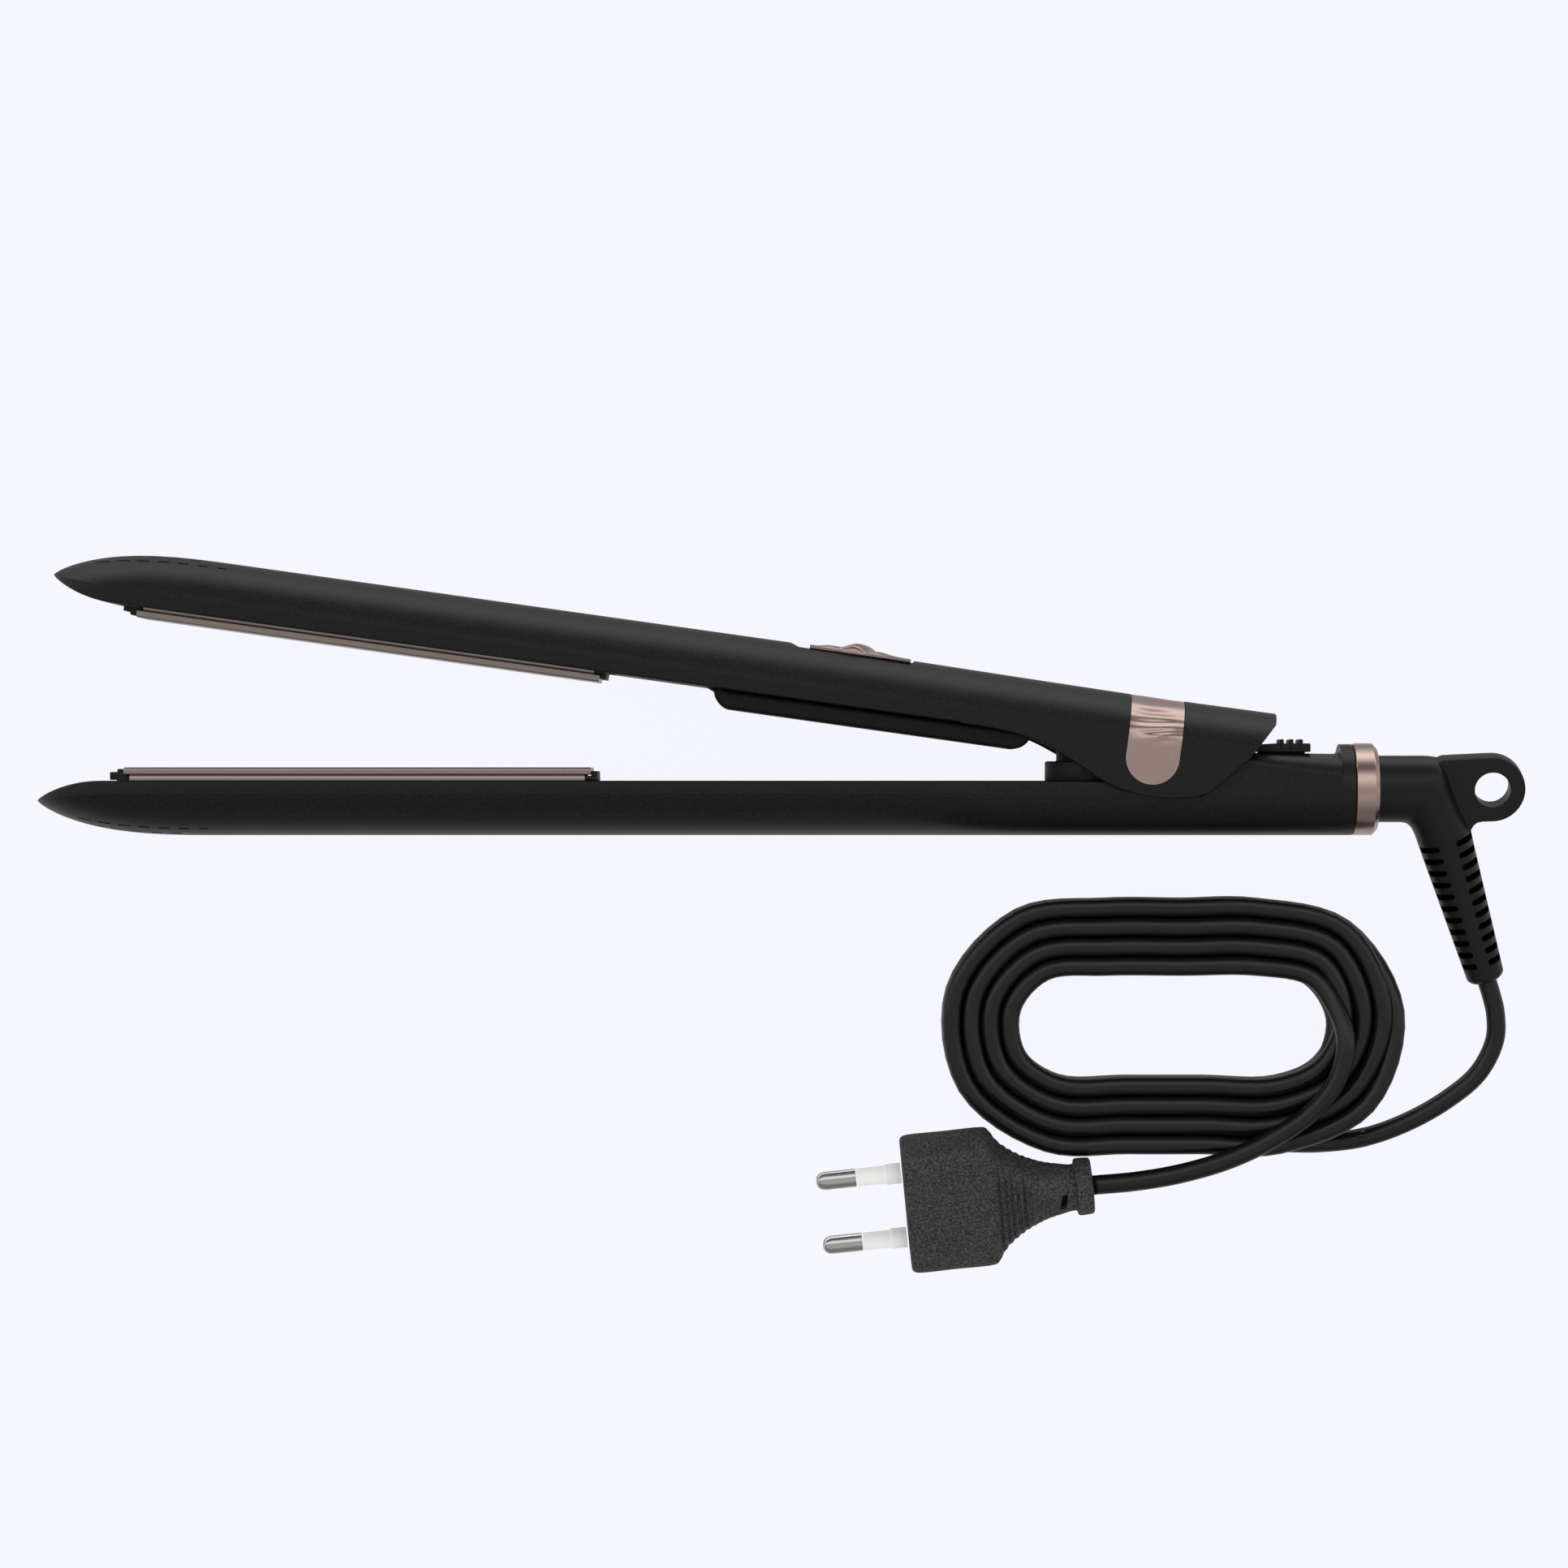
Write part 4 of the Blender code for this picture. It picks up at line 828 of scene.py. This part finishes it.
end_ring = solid("end_ring_look", arm([
    (x, arm_section(8.4 - inset, SWIVEL_Y, LOWER_CROWN + inset, REAR_HALF_WIDTH - inset, 1.0))
    for x, inset in ((BODY_END + 0.02, 0.12), (BODY_END + 0.14, 0.0), (RING_END - 1.06, 0.0), (RING_END - 0.94, 0.05),
                     (RING_END - 0.05, 0.99), (RING_END, 1.1))]), 18.0)
carve(end_ring, [rod("ring_bore", (30.0, SWIVEL_Y, MID_Z), (45.0, SWIVEL_Y, MID_Z), 7.6, 64)], sharp=18.0)
dress(end_ring, "lower_arm", "rose_metal", rose_metal("rose_ring", math.radians(90.0), 0.20), "end_ring")

# ================================================================ Heat switch
# A sliding switch of the same rose metal on the upper arm's back, sculpted in three slanting waves for the
# thumb. Its stem goes through the slot into the handle.

SWITCH_SPANS = ((-87.7, 18.0), (-85.6, 18.08), (-83.2, 18.45), (-81.6, 18.5), (-79.9, 18.42), (-78.3, 19.15),
                (-76.7, 19.68), (-75.2, 19.3), (-73.7, 18.3), (-71.9, 18.5), (-69.9, 18.15), (-67.5, 17.95),
                (-65.4, 17.85))
SWITCH_BASE, SWITCH_RIM, SWITCH_HALF = 17.21, 17.38, 5.6
SWITCH_X, SWITCH_LENGTH = -87.7, 22.3
SWITCH_LEAN = 1.9            # how far a crest's middle lies behind its ends


def switch_top():
    """The switch's body as a grid of heights. The waves lean over, so their crests run at a slant."""
    line = smooth_line(SWITCH_SPANS, 8)
    rows, columns = 90, 24
    half_length = SWITCH_LENGTH / 2
    bm = bmesh.new()
    top, bottom = [], []
    for i in range(rows + 1):
        x = SWITCH_X + SWITCH_LENGTH * i / rows
        lean = SWITCH_LEAN * (1 - ((x - SWITCH_X - half_length) / half_length) ** 2)
        row = []
        for k in range(columns + 1):
            t = 2 * k / columns - 1
            shifted = min(SWITCH_X + SWITCH_LENGTH - 0.01, max(SWITCH_X + 0.01, x + lean * t))
            after = next(n for n, p in enumerate(line) if p.x >= shifted)
            a, b = line[max(0, after - 1)], line[after]
            height = a.y if b.x == a.x else a.y + (b.y - a.y) * (shifted - a.x) / (b.x - a.x)
            rounded = (1 - abs(t) ** 3.0) ** 0.5
            y = SWITCH_RIM + (height - SWITCH_RIM) * (0.30 + 0.70 * rounded)
            row.append(bm.verts.new((x, y, MID_Z + SWITCH_HALF * t)))
        top.append(row)
        bottom.append([bm.verts.new((x, SWITCH_BASE, MID_Z + SWITCH_HALF * (2 * k / columns - 1)))
                       for k in range(columns + 1)])
    for i in range(rows):
        for k in range(columns):
            bm.faces.new((top[i][k], top[i + 1][k], top[i + 1][k + 1], top[i][k + 1]))
            bm.faces.new((bottom[i][k], bottom[i][k + 1], bottom[i + 1][k + 1], bottom[i + 1][k]))
        for k in (0, columns):
            bm.faces.new((top[i][k], top[i + 1][k], bottom[i + 1][k], bottom[i][k]))
    for i in (0, rows):
        for k in range(columns):
            bm.faces.new((top[i][k], top[i][k + 1], bottom[i][k + 1], bottom[i][k]))
    return bm


heat_switch = solid("heat_switch_look", switch_top(), 48.0)
carve(heat_switch, [brick("switch_stem", (-80.5, 13.6, 13.0), (-73.7, 17.6, 17.0), 0.3)], "UNION", 48.0)
heat_switch.data.transform(OPEN)
# The switch's copy of the rose metal is darkened to 0.72 as painted shade, for the dimmer light on its sides.
dress(heat_switch, "switch", "rose_metal", rose_metal("rose_switch", math.radians(8.0), 0.24, 0.72), "heat_switch")

# ================================================================ Grip pad
# A soft matt black pad under the upper arm's handle. The fingers press on it to close the iron.

pad_rubber = grained("pad_rubber", (0.0022, 0.0022, 0.0022), (0.0060, 0.0060, 0.0060), 0.52, 0.22, 1700.0,
                     relief=0.00005, Specular_IOR_Level=0.30)

PAD_END = 4.0
PAD_REAR = -35.4
pad_outline = [Vector((PAD_REAR, 5.6)), Vector((-109.0, 5.6))]
pad_outline += arc((-109.0 + PAD_END + 2.0, 5.5), PAD_END + 0.1, 190, 262, 14)
pad_outline += arc((PAD_REAR - PAD_END - 2.0, 5.5), PAD_END + 0.1, 278, 350, 14)
handle_pad = outline_solid("handle_pad_look", pad_outline, MID_Z - 12.5, MID_Z + 12.5, 1.1, OPEN)
dress(handle_pad, "upper_arm", "pad_rubber", pad_rubber, "handle_pad")

# ================================================================ Heated plates and their trays
# Ground aluminium plates with a rose-tinted ceramic coat. Their long edges are rounded and carry a rolled
# skirt. Each is clipped on a black tray that floats in the arm, with a stepped stop at both ends.

CONTACT_Y = 3.2              # where the plates meet when the arms are closed
PLATE_X = (-233.7, -132.1)
PLATE_HALF, PLATE_THICK, SKIRT_DEPTH, SKIRT_SHORT = 12.4, 1.62, 3.9, 1.3

plate_metal, plate_shader, at = finish("plate_metal", (0.42, 0.34, 0.31), 0.30, 0.9)
ground = at.noise(1300.0, 3.0, stretch=(0.02, 1.0, 1.0))
tint = at.noise(45.0, seed=6.0)
(0.24 + ground * 0.12).feeds(plate_shader, "Roughness")
(ground * 0.45 + tint * 0.55).colour((0.37, 0.295, 0.265), (0.47, 0.385, 0.355)).feeds(plate_shader, "Base Color")
ground.raises(plate_shader, 0.000008)

tray_plastic = grained("tray_plastic", (0.0045, 0.0045, 0.0045), (0.0090, 0.0090, 0.0090), 0.44, 0.16, 1900.0,
                       relief=0.00002, Specular_IOR_Level=0.4)


def plate(name, face, sign, place):
    """A plate whose face looks to +Y where the sign is +1."""
    slab = [(0.0, PLATE_HALF - 0.62), (0.05, PLATE_HALF - 0.36), (0.19, PLATE_HALF - 0.15),
            (0.40, PLATE_HALF - 0.02), (0.62, PLATE_HALF), (1.40, PLATE_HALF), (PLATE_THICK, PLATE_HALF - 0.22)]
    outline = slab + [(depth, -z) for depth, z in reversed(slab)]
    x_low, x_high = PLATE_X
    stations = []
    for x, inset in ((x_low, 0.25), (x_low + 0.08, 0.08), (x_low + 0.25, 0.0), (x_high - 0.25, 0.0),
                     (x_high - 0.08, 0.08), (x_high, 0.25)):
        stations.append([(x, face - sign * min(PLATE_THICK - 0.02, depth + inset * 0.8 * (depth < 0.8)),
                          MID_Z + z) for depth, z in outline])
    piece = solid(name, loft(stations), 40.0, place)
    rolls = []
    for edge in (-1, 1):
        middle = (PLATE_THICK - 0.05 + SKIRT_DEPTH) / 2
        half = (SKIRT_DEPTH - PLATE_THICK + 0.05) / 2
        section = []
        for k in range(24):
            a = 2 * math.pi * k / 24
            section.append((face - sign * (middle + half * math.sin(a)),
                            MID_Z + edge * (PLATE_HALF - 0.62) + 0.60 * math.cos(a)))
        rolls.append(solid("roll", loft([[(x, y, z) for y, z in section]
                                         for x in (x_low + SKIRT_SHORT, x_high - SKIRT_SHORT)]), 40.0, place))
    carve(piece, rolls, "UNION", 40.0)
    return piece


def tray(name, face, sign, place):
    def block(x_a, x_b, depth_a, depth_b, half, rounded):
        ys = sorted((face - sign * depth_a, face - sign * depth_b))
        return brick("block", (x_a, ys[0], MID_Z - half), (x_b, ys[1], MID_Z + half), rounded, place)

    x_low, x_high = PLATE_X
    piece = block(x_low - 1.6, x_high + 1.2, PLATE_THICK + 0.25, 5.2, PLATE_HALF - 1.35, 0.15)
    carve(piece, [block(x_low - 3.1, x_low + 1.2, 1.0, 2.75, PLATE_HALF - 1.4, 0.22),
                  block(x_low - 1.6, x_low - 0.06, 0.35, 2.0, PLATE_HALF - 2.4, 0.16),
                  block(x_high - 1.1, x_high + 1.4, PLATE_THICK + 0.2, 2.9, PLATE_HALF - 0.05, 0.22),
                  block(x_high + 0.06, x_high + 1.4, 0.8, 2.4, PLATE_HALF - 1.4, 0.16)], "UNION")
    carve(piece, [block(-220.0, -147.0, -1.0, 3.8, 8.3, 0.0)])
    piece.name = name
    return piece


for side, face, sign, place in (("lower", CONTACT_Y - 0.1, 1.0, None), ("upper", CONTACT_Y + 0.1, -1.0, OPEN)):
    unit = f"{side}_plate_unit"
    dress(plate(f"{side}_plate_look", face, sign, place), unit, "plate_metal", plate_metal, f"{side}_plate")
    dress(tray(f"{side}_tray_look", face, sign, place), unit, "black", tray_plastic, f"{side}_plate_carrier")

# ================================================================ Opening spring
# A steel wire spring that pushes the arms apart, in a stepped black seat on the lower arm.

SPRING_X, SPRING_R = -23.0, 4.4
UPRIGHT = Matrix.Translation(Vector((SPRING_X, 0.0, MID_Z)) * MM) @ Matrix.Rotation(math.radians(90.0), 4, "Z")
CUP = [(0.16, 9.7), (0.22, 9.85), (0.4, 9.9), (4.0, 9.9), (4.3, 9.8), (4.45, 9.5), (4.45, 7.65), (4.55, 7.45),
       (4.7, 7.4), (6.7, 7.4), (6.92, 7.3), (7.0, 7.1), (7.0, 5.8), (6.9, 5.65), (6.7, 5.6), (1.6, 5.6), (1.5, 5.4)]
dress(lathe("spring_cup_look", CUP, sides=72, place=UPRIGHT), "lower_arm", "black", tray_plastic, "spring_cup")

steel = grained("steel", (0.34, 0.34, 0.35), (0.50, 0.50, 0.51), 0.20, 0.18, 800.0, 3.0, metallic=1.0)

TURNS, TURN_STEPS, SPRING_FOOT, SPRING_HEIGHT = 6, 30, 2.4, 14.2
coils = []
for i in range(TURNS * TURN_STEPS + 1):
    a = 2 * math.pi * i / TURN_STEPS
    coils.append(Vector((SPRING_X + SPRING_R * math.cos(a), SPRING_FOOT + SPRING_HEIGHT * a / (2 * math.pi * TURNS),
                         MID_Z + SPRING_R * math.sin(a))) * MM)
hinge_spring = tube("hinge_spring_look", coils, 0.55 * MM, 10)
dress(hinge_spring, None, "steel", steel, "hinge_spring")
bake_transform(hinge_spring)

# ================================================================ Lock slider
# A black slide in a track on the tail, with three rounded ridges for the thumb. It holds the arms shut.

RIDGES = (18.75, 20.85, 22.9)
slider_outline = [Vector(p) for p in ((13.0, 8.1), (13.0, 6.5), (24.9, 6.5), (24.9, 8.15), (24.7, 8.35), (17.4, 8.35))]
lock_slider = outline_solid("lock_slider_look", slider_outline, MID_Z - 6.5, MID_Z + 6.5, 0.12)
carve(lock_slider, [brick("slider_foot", (14.0, 6.0, MID_Z - 3.8), (23.9, 7.5, MID_Z + 3.8), 0.15)] + [
    outline_solid("ridge", [Vector((x - 0.52, 7.2)), Vector((x + 0.52, 7.2)), Vector((x + 0.33, 7.75))]
                  + arc((x, 8.96), 0.31, 0, 180, 10) + [Vector((x - 0.33, 7.75))], MID_Z - 6.8, MID_Z + 6.8, 0.1)
    for x in RIDGES], "UNION")
dress(lock_slider, "lock", "black", tray_plastic, "lock_slider")

# ================================================================ Boot
# One moulding of soft black PVC: a barrel that swivels in the end ring, an elbow, a flat loop to hang the
# iron by, and a tapered strain relief with four columns of slots, so that it bends with the lead.

BOOT = Matrix.Translation(Vector((0.0, SWIVEL_Y, MID_Z)) * MM) @ Matrix.Rotation(math.radians(14.1), 4, "X") \
    @ Matrix.Translation(Vector((0.0, -SWIVEL_Y, -MID_Z)) * MM)
RELIEF_START, RELIEF_END, RELIEF_R = Vector((53.6, -8.0)), Vector((65.1, -44.9)), (6.25, 4.1)
LOOP_CENTRE, LOOP_R, LOOP_HOLE_R, LOOP_HALF_THICK = (65.1, -1.2), 7.2, 3.9, 2.6
relief_length = (RELIEF_END - RELIEF_START).length
down = (RELIEF_END - RELIEF_START).normalized()
right = Vector((-down.y, down.x))


def relief_radius(along):
    return RELIEF_R[0] + (RELIEF_R[1] - RELIEF_R[0]) * along / relief_length


# The near edge, the far edge and the half depth of each section, from the ring round the elbow
boot_shape = [(36.0, -8.6, 36.0, 5.4, 7.0), (36.3, -8.88, 36.3, 5.68, 7.28), (40.0, -8.9, 40.0, 5.7, 7.3),
              (43.5, -8.9, 46.5, 5.7, 7.3), (45.4, -8.95, 51.5, 5.62, 7.25), (46.4, -9.2, 53.6, 5.1, 7.1),
              (47.2, -9.8, 54.9, 3.4, 6.95), (47.8, -10.6, 56.3, -0.3, 6.75), (48.4, -11.8, 58.2, -5.0, 6.5),
              (48.9, -13.1, 60.4, -9.6, 6.25)]
for along in (8.0, 16.0, 24.0, 32.0, 36.6, 37.7, 38.35, relief_length):
    middle = RELIEF_START + down * along
    radius = relief_radius(along) - 0.9 * max(0.0, (along - 37.4) / (relief_length - 37.4)) ** 2
    boot_shape.append((*(middle - right * radius), *(middle + right * radius), radius))

boot_rings = []
for near_x, near_y, far_x, far_y, depth in smooth_line(boot_shape, 6):
    near, far = Vector((near_x, near_y)), Vector((far_x, far_y))
    ring = []
    for k in range(72):
        a = 2 * math.pi * k / 72
        point = (near + far) / 2 + (far - near) / 2 * math.cos(a)
        ring.append((point.x, point.y, MID_Z + depth * math.sin(a)))
    boot_rings.append(ring)

boot_pvc, boot_shader, at = finish("boot_pvc", (0.006, 0.0056, 0.0058), 0.40, Specular_IOR_Level=0.38)
skin, flow = at.noise(2400.0), at.noise(120.0, 3.0, seed=8.0)
(0.30 + skin * 0.10 + flow * 0.06).feeds(boot_shader, "Roughness")
(skin * 0.4 + flow * 0.6).colour((0.0032, 0.0030, 0.0031), (0.0065, 0.0060, 0.0062)).feeds(boot_shader, "Base Color")
(skin * 0.5 + flow * 0.5).raises(boot_shader, 0.00002)

boot = solid("boot_look", loft(boot_rings), 35.0)
web = [Vector(p) for p in ((50.0, 2.5), (53.0, 5.0), (54.2, 5.5), (59.0, 5.75), (63.5, 5.95))]
web += arc(LOOP_CENTRE, LOOP_R, 90, -90, 44)
web += [Vector(p) for p in ((63.2, -8.45), (62.0, -8.7), (61.2, -9.3), (60.7, -10.2), (60.2, -11.6), (55.0, -12.0))]
carve(boot, [outline_solid("web", web, MID_Z - LOOP_HALF_THICK, MID_Z + LOOP_HALF_THICK, 0.35)], "UNION", 35.0)

relief_slots = []
for number in range(11):
    along = relief_length - 4.6 - 2.85 * number
    middle = RELIEF_START + down * along
    radius = relief_radius(along)
    for angle in (42.0, 138.0, 222.0, 318.0):
        a = math.radians(angle)
        outward = Vector((*(right * math.cos(a)), math.sin(a)))
        lying = outward.cross(Vector((*down, 0.0)))
        relief_slots.append((Vector((*middle, MID_Z)) + outward * radius, outward, lying, radius / 6.2))
carve(boot, [rod("loop_hole", (*LOOP_CENTRE, 5.0), (*LOOP_CENTRE, 25.0), LOOP_HOLE_R, 64),
             slots("relief_slots", relief_slots, 6.3, 1.42, 5.6, boot_pvc)], sharp=35.0)
boot.data.transform(BOOT)
dress(boot, "boot", "boot_rubber", boot_pvc, "swivel_boot")

# ================================================================ Inside the arms
# Parts that show only when the arms are apart, or not at all: covers, screws, hinge, swivel, heaters and
# electronics. They keep their own shapes, and each gets the finish of its real material.

brass = grained("brass", (0.54, 0.37, 0.14), (0.70, 0.51, 0.23), 0.22, 0.16, 1000.0, 3.0, metallic=1.0)
ceramic = grained("ceramic", (0.68, 0.64, 0.56), (0.78, 0.75, 0.68), 0.52, 0.2, 1600.0)
silicone = grained("silicone", (0.24, 0.034, 0.019), (0.36, 0.056, 0.032), 0.46, 0.2, 900.0)
board, board_shader, at = finish("board", (0.02, 0.11, 0.045), 0.35)
tracks = at.noise(500.0, 4.0)
(0.28 + tracks * 0.2).feeds(board_shader, "Roughness")
tracks.between(0.48, 0.54).colour((0.014, 0.085, 0.034), (0.030, 0.150, 0.062)).feeds(board_shader, "Base Color")

KEPT = (
    (tray_plastic, ("lower_inner_cover", "upper_inner_cover", "spring_sleeve", "switch_base", "lower_screw_post_1",
                    "lower_screw_post_2", "upper_screw_post_1", "upper_screw_post_2")),
    (steel, ("hinge_pin", "thermal_fuse", "lower_screw_1", "lower_screw_2", "upper_screw_1", "upper_screw_2")),
    (brass, ("hinge_bush_left", "hinge_bush_right", "swivel_socket", "swivel_hub")),
    (ceramic, ("lower_heater", "upper_heater")),
    (silicone, ("lower_cushion_front", "lower_cushion_rear", "upper_cushion_front", "upper_cushion_rear")),
    (board, ("control_board", "power_module")),
)
for material, nodes in KEPT:
    for node in nodes:
        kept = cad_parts[node].data
        kept.materials.clear()
        kept.materials.append(material)
